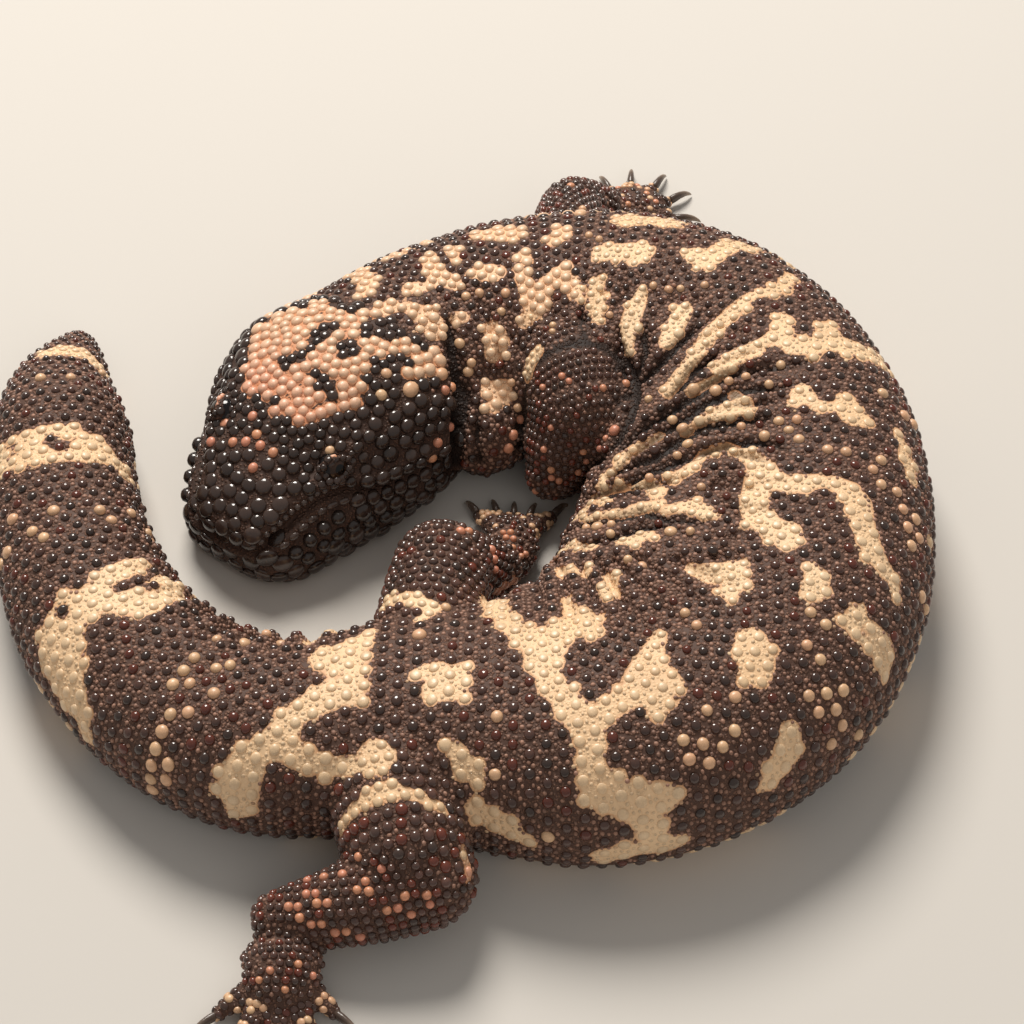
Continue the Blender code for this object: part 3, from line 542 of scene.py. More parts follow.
def head_place(distance, across, z):
    """Layout points from distance behind the snout, offset to the left and height."""
    snout, back, left = head_frame()
    distance, across, z = np.broadcast_arrays(*(np.asarray(v, float) for v in (distance, across, z)))
    flat = snout + back * distance[..., None] + left * (across - head_lean(distance, z))[..., None]
    return np.concatenate((flat, z[..., None]), -1)


def head_coordinates(points):
    """Distance behind the snout, offset to the left and height of layout points."""
    snout, back, left = head_frame()
    flat = points[..., :2] - snout
    distance = flat @ back
    return distance, flat @ left + head_lean(distance, points[..., 2]), points[..., 2]


def head_sizes(distance):
    table = np.array(HEAD_STATIONS)
    shape = np.shape(distance)
    return [c.reshape(shape) for c in steady_curve(table[:, 0], table[:, 1:], np.ravel(distance)).T]


def head_points(distance, turn, inset=0.0, floor=0.0, shrink=1.0):
    """Points of the head's outline; shrink draws a section in to close the snout's end."""
    width, crown, girth, _ = head_sizes(distance)
    depth = JAW_DEPTH * np.clip(CHIN_DEPTH + (distance - JAW_START) / CHIN_LENGTH, 0.0, 1.0)
    sine = np.sin(turn)
    top = girth + (crown - inset - girth) * np.abs(sine) ** SIDE_FULLNESS
    low = np.maximum(girth * (1.0 - depth * np.abs(sine) ** JAW_FULLNESS), floor)
    power = np.where(sine > 0.0, SIDE_FULLNESS, JAW_FULLNESS)
    across = signed_power(np.cos(turn), power) * (width - inset)
    middle = (crown + floor) * 0.5
    z = middle + (np.where(sine > 0.0, top, low) - middle) * shrink
    return head_place(distance, across * shrink, z)


# ---------------------------------------------------------------------------- limb form
DOME_LIFTS = (88.0, 80.0, 70.0, 58.0, 44.0, 30.0, 15.0)  # angles of the rings that round off an end
AIM_STEP = 0.3             # how far on either side of a ring its direction is taken
UPRIGHT = 0.2              # a limb is upright where its direction's level part is shorter


def tube_rings(path, step, inset=0.0, round_start=True):
    """Centres, directions and radii of closely spaced rings along a tapered limb."""
    path = np.array([(*point[:3], point[3] - inset) for point in path])
    chords = np.linalg.norm(np.diff(path[:, :3], axis=0), axis=1)
    knots = np.concatenate(([0.0], np.cumsum(chords)))
    count = max(4, int(knots[-1] / step))
    at = np.linspace(0.0, knots[-1], count + 1)
    centre = natural_curve(knots, path, at)
    ahead = unit(natural_curve(knots, path, np.minimum(at + AIM_STEP, knots[-1]))[:, :3]
                 - natural_curve(knots, path, np.maximum(at - AIM_STEP, 0.0))[:, :3])
    rows = [(centre[k, :3], ahead[k], centre[k, 3], at[k]) for k in range(count + 1)]
    lifts = [math.radians(a) for a in DOME_LIFTS]

    def dome(row, way):
        place, direction, radius, s = row
        return [(place + direction * (way * radius * math.sin(lift)), direction,
                 radius * math.cos(lift), s + way * radius * lift) for lift in lifts]

    if round_start:
        rows = dome(rows[0], -1.0) + rows
    return rows + dome(rows[-1], 1.0)[::-1]


def tube_grid(rows, sides, floor=0.0, squash=None):
    """Ring points, ring distances and turns of a limb tube."""
    turns = 2.0 * math.pi * np.arange(sides) / sides
    rings = []
    for place, direction, radius, _ in rows:
        across = np.cross(direction, (0.0, 0.0, 1.0))
        if np.linalg.norm(across) < UPRIGHT:
            across = np.cross(direction, (0.0, 1.0, 0.0))
        across = unit(across)
        up = np.cross(across, direction)
        ring = place + radius * (np.cos(turns)[:, None] * across + np.sin(turns)[:, None] * up)
        if squash:
            low = ring[:, 2].min()
            ring[:, 2] = max(low, 0.0) + (ring[:, 2] - low) * squash
        ring[:, 2] = np.maximum(ring[:, 2], floor)
        rings.append(ring)
    return np.array(rings), np.array([row[3] for row in rows]), turns


def palm_path(leg):
    ankle = leg["lower"][-1]
    centre = leg["foot"]
    length, width = leg["foot_size"]
    middle = math.radians(leg["toe_angles"][2])
    reach = length * PALM_REACH
    return (
        (ankle[0], ankle[1], ankle[2] * WRIST_DROP, ankle[3] * WRIST_SHARE),
        (*centre, width * PALM_SHARES[0]),
        (centre[0] + math.cos(middle) * reach, centre[1] + math.sin(middle) * reach,
         centre[2] - PALM_TIP_DROP, width * PALM_SHARES[1]),
    )


def toe_path(leg, index):
    angle = math.radians(leg["toe_angles"][index])
    start = leg["foot_size"][0] * TOE_START
    length = leg["toe_lengths"][index]
    heights = (*TOE_HEIGHTS, TOE_RADIUS * TOE_TIP_LIFT)
    return [
        (leg["foot"][0] + math.cos(angle) * (start + length * share),
         leg["foot"][1] + math.sin(angle) * (start + length * share), height, TOE_RADIUS * taper)
        for share, height, taper in zip((0.0, 0.5, 1.0), heights, TOE_TAPER)
    ]


# ---------------------------------------------------------------------------- skin form
BODY, HEAD, LIMB = 0, 1, 2
SKIN_FLOOR = 0.5           # height of the skin's underside, so that the belly scales reach the floor
TOE_FLOOR = 0.35
LOWEST_SKIN = 0.25         # no part of the sculpted skin is lower
HEAD_DEPTH_SHARE = 0.8     # coat depth on the head, limbs and toes, as shares of the body's
LIMB_DEPTH_SHARE = 0.75
TOE_DEPTH_SHARE = 0.45
FINE_BEND = 0.07           # share of the spine's bend from which the skin's mesh is finer
FINE_CLEAR, FINE_LEVEL = 3.0, 3.0  # the finer mesh ends this far before the nape, and begins this high
# Points round the sections of the outline, and steps along it.
BODY_SIDES, THROAT_SIDES, LIMB_SIDES, TOE_SIDES = 96, 56, (64, 56, 40), 20
BODY_STEP, HEAD_STEP = 1.0, 0.7
TAIL_TIP_LENGTH = 1.8      # the last part of the tail has rings of its own
LIMB_STEP, TOE_STEP = 0.9, 0.6
LIMB_SQUASH = (None, None, PALM_SQUASH)
TAIL_TIP_RINGS = (1.4, 0.9, 0.5, 0.25, 0.15)
SNOUT_SHRINK = (0.08, 0.3, 0.5, 0.68, 0.83, 0.94)
# Smoothing of the joined skin, filling of its hollows, and smoothing of the finer skin: rounds, and shares.
JOIN_SMOOTHING = (5, 0.6, -0.61)
HOLLOW_FILLING = (14, 0.6)
HOLLOW_DEPTH = (0.05, 0.16)
FINE_SMOOTHING = (2, 0.5, -0.51)
FOLD_ROWS = 3              # bead rows from one flank fold to the next
ROW_SHARE = 0.866          # row spacing over bead spacing
# Distance along the crest and the spacing of beads there.
BEAD_SPACINGS = (
    (0.0, 2.45), (20.0, 2.55), (45.0, 2.75), (70.0, 3.15), (95.0, 3.4), (190.0, 3.4), (240.0, 3.3),
    (290.0, 3.25), (312.0, 3.1), (330.0, 2.85), (345.0, 2.3), (360.0, 1.5))


def soft_noise(points, size, seed=0):
    """Smooth noise between -1 and 1 with features of about the given size."""
    place = np.asarray(points, float) / size + seed * 17.31
    cell = np.floor(place)
    f = place - cell
    f = f * f * (3.0 - 2.0 * f)
    total = np.zeros(len(place))
    for corner in range(8):
        step = np.array((corner & 1, (corner >> 1) & 1, (corner >> 2) & 1), float)
        dot = (cell + step) @ np.array((12.9898, 78.233, 37.719))
        value = np.abs(np.sin(dot) * 43758.5453) % 1.0
        weight = np.prod(np.where(step > 0.5, f, 1.0 - f), axis=1)
        total += weight * value
    return total * 2.0 - 1.0


class Outline:
    """Every closed run of the animal's outline, with the coordinates of its points."""

    def __init__(self):
        self.points = []
        self.faces = []
        self.marks = []
        self.count = 0

    def add(self, grid, part, u, v):
        rings, sides = grid.shape[:2]
        index = self.count + np.arange(rings * sides).reshape(rings, sides)
        turned = np.roll(index, -1, axis=1)
        quads = np.stack((index[:-1], turned[:-1], turned[1:], index[1:]), -1).reshape(-1, 4)
        self.faces += quads.tolist() + [index[0, ::-1].tolist(), index[-1].tolist()]
        self.points.append(grid.reshape(-1, 3))
        mark = np.empty((rings, sides, 3))
        mark[..., 0] = part
        mark[..., 1] = u[:, None]
        mark[..., 2] = v[None, :]
        self.marks.append(mark.reshape(-1, 3))
        self.count += rings * sides

    def finish(self):
        self.points = np.concatenate(self.points)
        self.marks = np.concatenate(self.marks)
        self.tree = place_tree(self.points)

    def nearest(self, points):
        found = np.array([self.tree.find(p)[1] for p in points.tolist()])
        return self.marks[found]


def build_outline(spine, depth):
    """The animal's outline, drawn in by the coat's depth, as overlapping closed tubes."""
    outline = Outline()
    turns = 2.0 * math.pi * np.arange(BODY_SIDES) / BODY_SIDES
    s = np.arange(-NAPE_OVERLAP, spine.length - TAIL_TIP_LENGTH, BODY_STEP)
    s = np.append(s, spine.length - np.array(TAIL_TIP_RINGS))
    s_grid, turn_grid = np.meshgrid(s, turns, indexing="ij")
    flat = body_points(spine, s_grid.ravel(), turn_grid.ravel(), depth, SKIN_FLOOR)
    outline.add(flat.reshape(len(s), BODY_SIDES, 3), BODY, s, turns)
    grid, _, v = tube_grid(tube_rings(THROAT, LIMB_STEP, depth), THROAT_SIDES, SKIN_FLOOR)
    outline.add(grid, BODY, np.full(len(grid), THROAT_RUN), v)
    inset = depth * HEAD_DEPTH_SHARE
    snout = inset + (SNOUT_START - inset) * np.array(SNOUT_SHRINK) ** 2
    distance = np.concatenate((snout, np.arange(SNOUT_START, HEAD_LENGTH + 0.1, HEAD_STEP)))
    shrink = np.append(SNOUT_SHRINK, np.ones(len(distance) - len(snout)))
    d_grid, turn_grid = np.meshgrid(distance, turns, indexing="ij")
    grid = head_points(d_grid, turn_grid, inset, SKIN_FLOOR, shrink[:, None] * np.ones_like(d_grid))
    outline.add(grid, HEAD, distance, turns)
    for number, leg in enumerate(LEGS.values()):
        limb = LIMB + number * 10
        paths = (leg["upper"], leg["lower"], palm_path(leg))
        for kind, (path, sides, squash) in enumerate(zip(paths, LIMB_SIDES, LIMB_SQUASH)):
            rows = tube_rings(path, LIMB_STEP, depth * LIMB_DEPTH_SHARE)
            grid, u, v = tube_grid(rows, sides, SKIN_FLOOR, squash)
            outline.add(grid, limb + kind, u, v)
        for toe in range(len(leg["toe_angles"])):
            rows = tube_rings(toe_path(leg, toe), TOE_STEP, depth * TOE_DEPTH_SHARE, round_start=False)
            grid, u, v = tube_grid(rows, TOE_SIDES, TOE_FLOOR)
            outline.add(grid, limb + 3 + toe, u, v)
    outline.finish()
    return outline


def mesh_arrays(mesh):
    """Vertex positions, edges and triangles of a mesh as arrays."""
    points = np.empty(len(mesh.vertices) * 3)
    mesh.vertices.foreach_get("co", points)
    edges = np.empty(len(mesh.edges) * 2, np.int32)
    mesh.edges.foreach_get("vertices", edges)
    mesh.calc_loop_triangles()
    triangles = np.empty(len(mesh.loop_triangles) * 3, np.int32)
    mesh.loop_triangles.foreach_get("vertices", triangles)
    return points.reshape(-1, 3), edges.reshape(-1, 2), triangles.reshape(-1, 3)


def pull_towards_neighbours(points, edges, share):
    """Move every point by a share of the way to its neighbours' mean."""
    count = np.bincount(edges.ravel(), minlength=len(points))[:, None]
    total = np.stack([
        np.bincount(edges[:, 0], points[edges[:, 1], k], len(points))
        + np.bincount(edges[:, 1], points[edges[:, 0], k], len(points)) for k in range(3)
    ], -1)
    return points + share * (total / np.maximum(count, 1) - points)


def smooth(points, edges, rounds, share, back):
    """Smoothing that pulls in and then out again, so that the shape doesn't shrink."""
    for _ in range(rounds):
        for step in (share, back):
            points = pull_towards_neighbours(points, edges, step)
    return points


def vertex_normals(points, triangles):
    a, b, c = (points[triangles[:, k]] for k in range(3))
    cross = np.cross(b - a, c - a)
    total = np.stack([
        sum(np.bincount(triangles[:, j], cross[:, k], len(points)) for j in range(3)) for k in range(3)
    ], -1)
    return unit(total)


def largest_island(points, faces, edges):
    """Keep the faces of the biggest connected piece."""
    label = np.arange(len(points))
    while True:
        low = np.minimum(label[edges[:, 0]], label[edges[:, 1]])
        fresh = label.copy()
        np.minimum.at(fresh, edges[:, 0], low)
        np.minimum.at(fresh, edges[:, 1], low)
        fresh = fresh[fresh[fresh]]
        if np.array_equal(fresh, label):
            break
        label = fresh
    main = np.bincount(label).argmax()
    keep = label == main
    remap = np.cumsum(keep) - 1
    faces = faces[keep[faces[:, 0]]]
    return points[keep], remap[faces]


def remeshed_union(outline, voxel):
    """One even quad mesh over all the overlapping tubes, in millimetres."""
    mesh = bpy.data.meshes.new("outline")
    mesh.from_pydata(outline.points.tolist(), [], outline.faces)
    solid = bpy.data.objects.new("outline", mesh)
    bpy.context.scene.collection.objects.link(solid)
    remesh = solid.modifiers.new("Even mesh", "REMESH")
    remesh.mode = "VOXEL"
    remesh.voxel_size = voxel
    remesh.adaptivity = 0.0
    graph = bpy.context.evaluated_depsgraph_get()
    result = bpy.data.meshes.new_from_object(solid.evaluated_get(graph), depsgraph=graph)
    bpy.data.objects.remove(solid)
    bpy.data.meshes.remove(mesh)
    points, edges, _ = mesh_arrays(result)
    loops = np.empty(len(result.loops), np.int32)
    result.loops.foreach_get("vertex_index", loops)
    if len(loops) != 4 * len(result.polygons):
        raise RuntimeError("The even mesh isn't all quads")
    bpy.data.meshes.remove(result)
    return largest_island(points, loops.reshape(-1, 4), edges)


def skin_shape(spine, outline, voxel):
    """Points and triangles of the smoothed skin, finer over the head and the folded flank."""
    points, quads = remeshed_union(outline, voxel)
    mesh = bpy.data.meshes.new("skin_draft")
    mesh.from_pydata(points.tolist(), [], quads.tolist())
    points, edges, triangles = mesh_arrays(mesh)
    points = smooth(points, edges, *JOIN_SMOOTHING)
    rounds, share = HOLLOW_FILLING
    for _ in range(rounds):
        drawn = pull_towards_neighbours(points, edges, 1.0) - points
        hollow = np.einsum("ij,ij->i", drawn, vertex_normals(points, triangles))
        points = points + drawn * smooth_step(*HOLLOW_DEPTH, hollow)[:, None] * share
    mesh.vertices.foreach_set("co", points.ravel())
    marks = outline.nearest(points)
    inward, bend = inner_offset(spine, points, marks[:, 1])
    finer = (marks[:, 0] == HEAD) & (head_coordinates(points)[0] < HEAD_LENGTH - FINE_CLEAR)
    finer |= (marks[:, 0] == BODY) & (bend * inward > FINE_BEND) & (points[:, 2] > FINE_LEVEL)
    bm = bmesh.new()
    bm.from_mesh(mesh)
    bm.verts.ensure_lookup_table()
    split = [edge for edge in bm.edges if finer[edge.verts[0].index] and finer[edge.verts[1].index]]
    bmesh.ops.subdivide_edges(bm, edges=split, cuts=1, use_grid_fill=True)
    bm.to_mesh(mesh)
    bm.free()
    points, edges, triangles = mesh_arrays(mesh)
    bpy.data.meshes.remove(mesh)
    return smooth(points, edges, *FINE_SMOOTHING), triangles


# ---------------------------------------------------------------------------- skin relief
FOLD_BEND = (0.03, 0.26)   # share of the spine's bend at which flank folds begin and are deepest
FULL_SPACING = 0.6         # share of the outer half width at which the rows have their full spacing
FIRST_ROW, LAST_GAP = -2.0, 0.4  # where the bead rows start, and how far before the tail's tip they end
LEAST_NARROWING, RUN_REACH = 0.25, 1.5
FOLD_RISE = (2.0, 7.0)     # heights over which the folds deepen
FOLD_POWER = 2.4           # above 1, a fold is wider than the crease beside it
FINE_FOLDS = ((-0.15, 0.1), (0.2, 0.45), 0.28)  # bends where they begin and end, and share of depth
WANDER = (0.75, 0.35, 9.0)  # depth of the folds: mean, spread and size of its changes
UNEVEN_BODY = ((0.22, 13.0), (0.1, 5.0))  # height and size of slow and quick unevenness
# Rolls of the lips: size, height from the mouth line and width.
LIP_GROOVE = (-1.35, 0.0, 0.6)
UPPER_LIP = (0.35, 2.0, 1.3)
UPPER_LIP_GROWTH = 0.5     # added size behind the eye
LOWER_LIP = (0.45, -1.4, 0.8)
UNDER_LIP = (-0.45, -2.6, 0.5)
# Swellings and hollows of the sides: size, middle and width along the head, middle and width in height.
TEMPLE = (0.7, 37.0, 8.0, 19.0, 5.0)
JOWL = (0.6, 33.0, 7.0, 8.0, 4.0)
EAR = (-1.3, 44.0, 0.8, 14.5, 2.2)
# The same, with heights from the mouth line.
CHIN_SWELLING = (0.7, 15.0, 8.0, -5.0, 2.4)
BROW_HOLLOW = (-1.0, 15.5, 5.0, 4.2, 1.6)
BROW_LINE = ((5.0, 12.0, 20.0, 28.0), (9.0, 11.3, 12.6, 14.5))  # distances, and half widths there
BROW_WIDTH = 1.8
UNEVEN_HEAD = 0.16
# Distances behind the snout over which each of these begins and ends.
HEAD_SPAN = ((-3.0, -1.0), (46.0, 49.0))
BROW_SPAN = ((6.0, 14.0), (24.0, 31.0))
LIPS_END, LOWER_LIP_END, LIP_GROWTH_SPAN = (39.0, 44.0), (18.0, 22.0), (18.0, 25.0)
# Distance behind the snout and how far the lips meet above the jaw's upper edge there.
LIP_LINE = (
    (0.0, 0.2), (4.0, 1.0), (8.0, 1.7), (14.5, 3.1), (18.0, 2.6), (24.0, 0.6), (30.0, 0.0), (50.0, 0.0))
NOSTRIL = (4.2, 8.9, 12.4)  # distance from the snout, offset from the midline, height
NOSTRIL_SIZE = (0.75, 0.8, 0.8)
NOSTRIL_DEPTH = 1.2
EYE_OPENING = (1.9, 0.8)
EYE_OUTWARD = (0.80, 0.20, 0.56)  # an eye looks this much sideways, forward and up
LID_HEIGHT, LID_FALL, RIM_DEPTH = 0.5, 0.25, 0.9
LID_SPREAD = 2.9           # the lids reach to this many times the eye's opening
LID_REACH = 60.0           # square of the distance that may be pulled to the lids
CREASE = (-1.35, 0.3)      # how far inside a fold's line its crease begins and is deepest
CREASE_CLEAR = 7.0         # even folds start this far from the drawn ones


def bead_spacing(s):
    table = np.array(BEAD_SPACINGS)
    return np.interp(s, table[:, 0], table[:, 1])


def row_places(spine):
    """Distances along the crest of the bead rows, from the nape to the tail's tip."""
    places = [FIRST_ROW]
    while places[-1] < spine.length - LAST_GAP:
        s = places[-1]
        places.append(s + ROW_SHARE * float(bead_spacing(s) / row_stretch(spine, s)))
    return np.array(places)


def row_stretch(spine, s, inward=None):
    """How far apart the rows lie at an offset from the crest, over their spacing at the crest."""
    _, (_, outer, _, _), _, bend = spine.at(s)
    return 1.0 - bend * (-FULL_SPACING * outer if inward is None else inward)


def inner_offset(spine, points, s):
    """Offset of points from the crest towards the inside of the curl."""
    plan, _, side, bend = spine.at(s)
    return np.einsum("ij,ij->i", points[:, :2] - plan, side), bend


def exact_run(spine, points, s):
    """Distance along the crest square to which each point lies, from a near one."""
    plan, _, side, bend = spine.at(s)
    away = points[:, :2] - plan
    ahead = np.stack((-side[:, 1], side[:, 0]), -1)
    narrowing = np.maximum(1.0 - bend * np.einsum("ij,ij->i", away, side), LEAST_NARROWING)
    return s + np.clip(np.einsum("ij,ij->i", away, ahead) / narrowing, -RUN_REACH, RUN_REACH)


def crease_amount(field):
    return smooth_step(*CREASE, field)


def body_relief(spine, points, marks, field, depth):
    """Outward offset of the body's skin: flank folds, the neck's crease and slow unevenness."""
    s = exact_run(spine, points, marks[:, 1])
    inward, bend = inner_offset(spine, points, s)
    row_starts = row_places(spine)
    rows = np.interp(s, row_starts, np.arange(len(row_starts)))
    wave = (0.5 - 0.5 * np.cos(2.0 * math.pi * rows / FOLD_ROWS)) ** FOLD_POWER
    fine = (0.5 - 0.5 * np.cos(4.0 * math.pi * rows / FOLD_ROWS)) ** 2
    bent = bend * inward
    strength = smooth_step(*FOLD_BEND, bent) * smooth_step(*FOLD_RISE, points[:, 2])
    strength = strength * (1.0 - smooth_step(-CREASE_CLEAR - 3.0, -CREASE_CLEAR, field))
    begin, end, share = FINE_FOLDS
    mild = smooth_step(*begin, bent) * (1.0 - smooth_step(*end, bent))
    wander = WANDER[0] + WANDER[1] * soft_noise(points, WANDER[2], 3)
    folds = -(strength * wave * depth * wander + mild * fine * depth * share * wander)
    uneven = sum(height * soft_noise(points, size, k + 1) for k, (height, size) in enumerate(UNEVEN_BODY))
    drawn = -crease_amount(field) * depth * wander
    return np.where(marks[:, 0] == BODY, folds + uneven, 0.0) + np.where(marks[:, 0] < LIMB, drawn, 0.0)


def lip_height(distance):
    """Height at which the lips meet."""
    table = np.array(LIP_LINE)
    return head_sizes(np.clip(distance, 0.0, HEAD_LENGTH))[3] + np.interp(distance, table[:, 0], table[:, 1])


def swell(distance, height, shape):
    size, middle, length, level, width = shape
    return size * np.exp(-((distance - middle) / length) ** 2 - ((height - level) / width) ** 2)


def roll(above, size, level, width):
    return size * np.exp(-((above - level) / width) ** 2)


def head_relief(points):
    """Outward offset of the head's skin: lips, brows, cheeks, nostrils and ear openings."""
    distance, across, z = head_coordinates(points)
    on, on_brow = (smooth_step(*begin, distance) * (1.0 - smooth_step(*end, distance))
                   for begin, end in (HEAD_SPAN, BROW_SPAN))
    wide = np.abs(across)
    above = z - lip_height(distance)
    run = on * (1.0 - smooth_step(*LIPS_END, distance))
    front = 1.0 - smooth_step(*LOWER_LIP_END, distance)
    growth = UPPER_LIP_GROWTH * smooth_step(*LIP_GROWTH_SPAN, distance)
    brow = np.exp(-((wide - np.interp(distance, *BROW_LINE)) / BROW_WIDTH) ** 2) * smooth_step(12.0, 18.0, z)
    local = (np.stack((distance, wide, z), -1) - NOSTRIL) / NOSTRIL_SIZE
    return on * sum((
        roll(above, *LIP_GROOVE) * run, roll(above, UPPER_LIP[0] + growth, *UPPER_LIP[1:]) * run,
        roll(above, *LOWER_LIP) * run * front, roll(above, *UNDER_LIP) * run * front,
        swell(distance, above, CHIN_SWELLING),
        brow * on_brow,
        swell(distance, above, BROW_HOLLOW) * smooth_step(8.0, 12.0, wide),
        swell(distance, z, TEMPLE), swell(distance, z, JOWL),
        swell(distance, z, EAR) * smooth_step(10.0, 16.0, wide),
        UNEVEN_HEAD * soft_noise(points, 7.0, 4) * on,
        -NOSTRIL_DEPTH * np.exp(-(local ** 2).sum(axis=1)),
    ))


def eye_frame(side):
    """Centre of an eye, and its outward, forward and upward directions."""
    centre = head_place(EYE_PLACE[0], side * EYE_PLACE[1], EYE_PLACE[2])
    _, back, left = head_frame()
    sideways, ahead, rise = EYE_OUTWARD
    outward = unit(np.array((*(left * side * sideways - back * ahead), rise)))
    forward = unit(-np.array((*back, 0.0)) - outward * float(-np.array((*back, 0.0)) @ outward))
    upward = np.cross(outward, forward) * (1.0 if np.cross(outward, forward)[2] > 0.0 else -1.0)
    return centre, outward, forward, upward


def shape_eyelids(points):
    """Lids that wrap each eyeball, with a sunk rim inside them."""
    points = points.copy()
    for side in (1.0, -1.0):
        centre, outward, forward, upward = eye_frame(side)
        local = points - centre
        depth = local @ outward
        x = local @ forward
        y = local @ upward
        near = (depth > 0.0) & (x * x + y * y < LID_REACH)
        spread = np.sqrt((x / EYE_OPENING[0]) ** 2 + (y / EYE_OPENING[1]) ** 2)
        radius = np.linalg.norm(local, axis=1)
        lid = EYE_RADIUS + LID_HEIGHT - LID_FALL * smooth_step(1.15, 1.9, spread)
        sunk = EYE_RADIUS - RIM_DEPTH
        target = np.where(spread < 1.0, sunk + (lid - sunk) * smooth_step(0.86, 1.05, spread), lid)
        hold = 1.0 - smooth_step(1.5, LID_SPREAD, spread)
        fresh = radius + (target - radius) * hold
        fresh = np.where(spread < 1.0, np.minimum(fresh, target), fresh)
        move = np.where(near & (spread < LID_SPREAD), fresh / np.maximum(radius, 1e-6), 1.0)
        points = centre + local * move[:, None]
    return points


# ---------------------------------------------------------------------------- surface look-ups
# A place is seen if its sight line, from this far above the skin, is free and comes in this steeply.
SIGHT_LIFT, SIGHT_SLOPE = 0.9, 0.06
FAR_OUTSIDE, COVER_REACH = -99.0, 4.0  # depth away from all spots, and how far outside one it is worked out


class Surface:
    """The finished skin, with nearest-place and sight-line look-ups in millimetres."""

    def __init__(self, points, triangles):
        self.points = points
        self.triangles = triangles
        self.normals = vertex_normals(points, triangles)
        self.tree = BVHTree.FromPolygons(points.tolist(), triangles.tolist())

    def snap(self, places):
        """Nearest skin places, their smooth normals and how far away they were."""
        found = [self.tree.find_nearest(p) for p in places.tolist()]
        at = np.array([f[0] for f in found])
        corner = self.triangles[np.array([f[2] for f in found])]
        a, b, c = (self.points[corner[:, k]] for k in range(3))
        cross = np.cross(b - a, c - a)
        size = np.maximum(np.einsum("ij,ij->i", cross, cross), 1e-12)
        u = np.einsum("ij,ij->i", np.cross(c - b, at - b), cross) / size
        v = np.einsum("ij,ij->i", np.cross(a - c, at - c), cross) / size
        share = np.stack((u, v, 1.0 - u - v), -1)
        normal = sum(self.normals[corner[:, k]] * share[:, k:k + 1] for k in range(3))
        return at, unit(normal), np.array([f[3] for f in found])

    def seen(self, places, normals):
        """True where nothing lies between a place and the camera."""
        eye = camera_eye()
        hits = [
            self.tree.ray_cast(Vector(p), Vector(eye - p).normalized(), VIEW_DISTANCE)[0] is None
            for p in places + normals * SIGHT_LIFT
        ]
        return np.array(hits) & (np.einsum("ij,ij->i", normals, unit(eye - places)) > SIGHT_SLOPE)


def camera_eye():
    return VIEW_DISTANCE * np.array((0.0, -math.cos(VIEW_ELEVATION), math.sin(VIEW_ELEVATION)))


def lay_dabs(surface, marks):
    """Turn every run of dabs into linked spots on the skin: place and radius in millimetres."""
    eye = camera_eye()
    right = np.array((1.0, 0.0, 0.0))
    up = np.array((0.0, math.sin(VIEW_ELEVATION), math.cos(VIEW_ELEVATION)))
    forward = np.array((0.0, math.cos(VIEW_ELEVATION), -math.sin(VIEW_ELEVATION)))
    runs = []
    for dabs in marks:
        run = []
        for dab in dabs:
            x = (dab[0] - PICTURE_SIDE / 2.0) / FOCAL_PIXELS
            y = (PICTURE_SIDE / 2.0 - dab[1]) / FOCAL_PIXELS
            way = forward + right * x + up * y
            hit = surface.tree.ray_cast(Vector(eye), Vector(way).normalized(), 2.0 * VIEW_DISTANCE)[0]
            if hit is None:
                continue
            away = float((np.array(hit) - eye) @ forward)
            run.append((*hit, (dab[2] if len(dab) > 2 else 0.0) * away / FOCAL_PIXELS))
        runs.append(np.array(run).reshape(-1, 4))
    return runs


def cover(points, runs):
    """How far inside the linked spots each point lies; negative outside."""
    best = np.full(len(points), FAR_OUTSIDE)
    for run in runs:
        for first, second in zip(run, run[1:] if len(run) > 1 else run):
            low = np.minimum(first[:3], second[:3]) - first[3] - second[3] - COVER_REACH
            high = np.maximum(first[:3], second[:3]) + first[3] + second[3] + COVER_REACH
            near = np.flatnonzero(np.all((points > low) & (points < high), axis=1))
            if len(near) == 0:
                continue
            way = second[:3] - first[:3]
            local = points[near] - first[:3]
            share = np.clip(local @ way / max(float(way @ way), 1e-9), 0.0, 1.0)
            gap = np.linalg.norm(local - share[:, None] * way, axis=1)
            best[near] = np.maximum(best[near], first[3] + (second[3] - first[3]) * share - gap)
    return best


# ---------------------------------------------------------------------------- bead places
BODY_SAMPLES = 241         # points round a section along which a row of beads is measured
CROWDING = (0.62, 1.12)    # least and greatest share of their full spacing that rows take up
ROW_ORDER = (0.0, 2.0, 1.0)  # rows on the ridges between folds are laid first
HEAD_BEADS = 1.95          # bead spacings
CHEEK_BEADS = 2.85
SNOUT_PLATES = 2.75
JAW_PLATES = 3.2
PLAIN, LABIAL, LIP, ROSETTE = 0, 1, 2, 3
# Rows along the lips: style, first and last distance, step, height from the lip line, spacing.
LIP_ROWS = (
    (LABIAL, 1.4, 16.8, 1.34, 1.35, 1.35),
    (PLAIN, 18.0, 42.0, 2.55, 1.95, 2.5),
    (LIP, 5.2, 18.5, 2.1, -1.35, 1.75),
    (PLAIN, 20.0, 40.0, 2.7, -1.9, 2.5),
    (ROSETTE, 6.2, 27.0, 3.05, -4.0, 3.05),
    (ROSETTE, 7.8, 27.0, 3.2, -6.9, 3.1),
)
EYE_GRAINS = 1.15
EYELID_RINGS = ((14, 1.32), (18, 1.95))  # grains in a ring, and its size over the eye's opening
EYELID_DISTANCE, EYELID_HEIGHT = 3.0, 1.1  # from the eye's middle, and height of a ring over its width
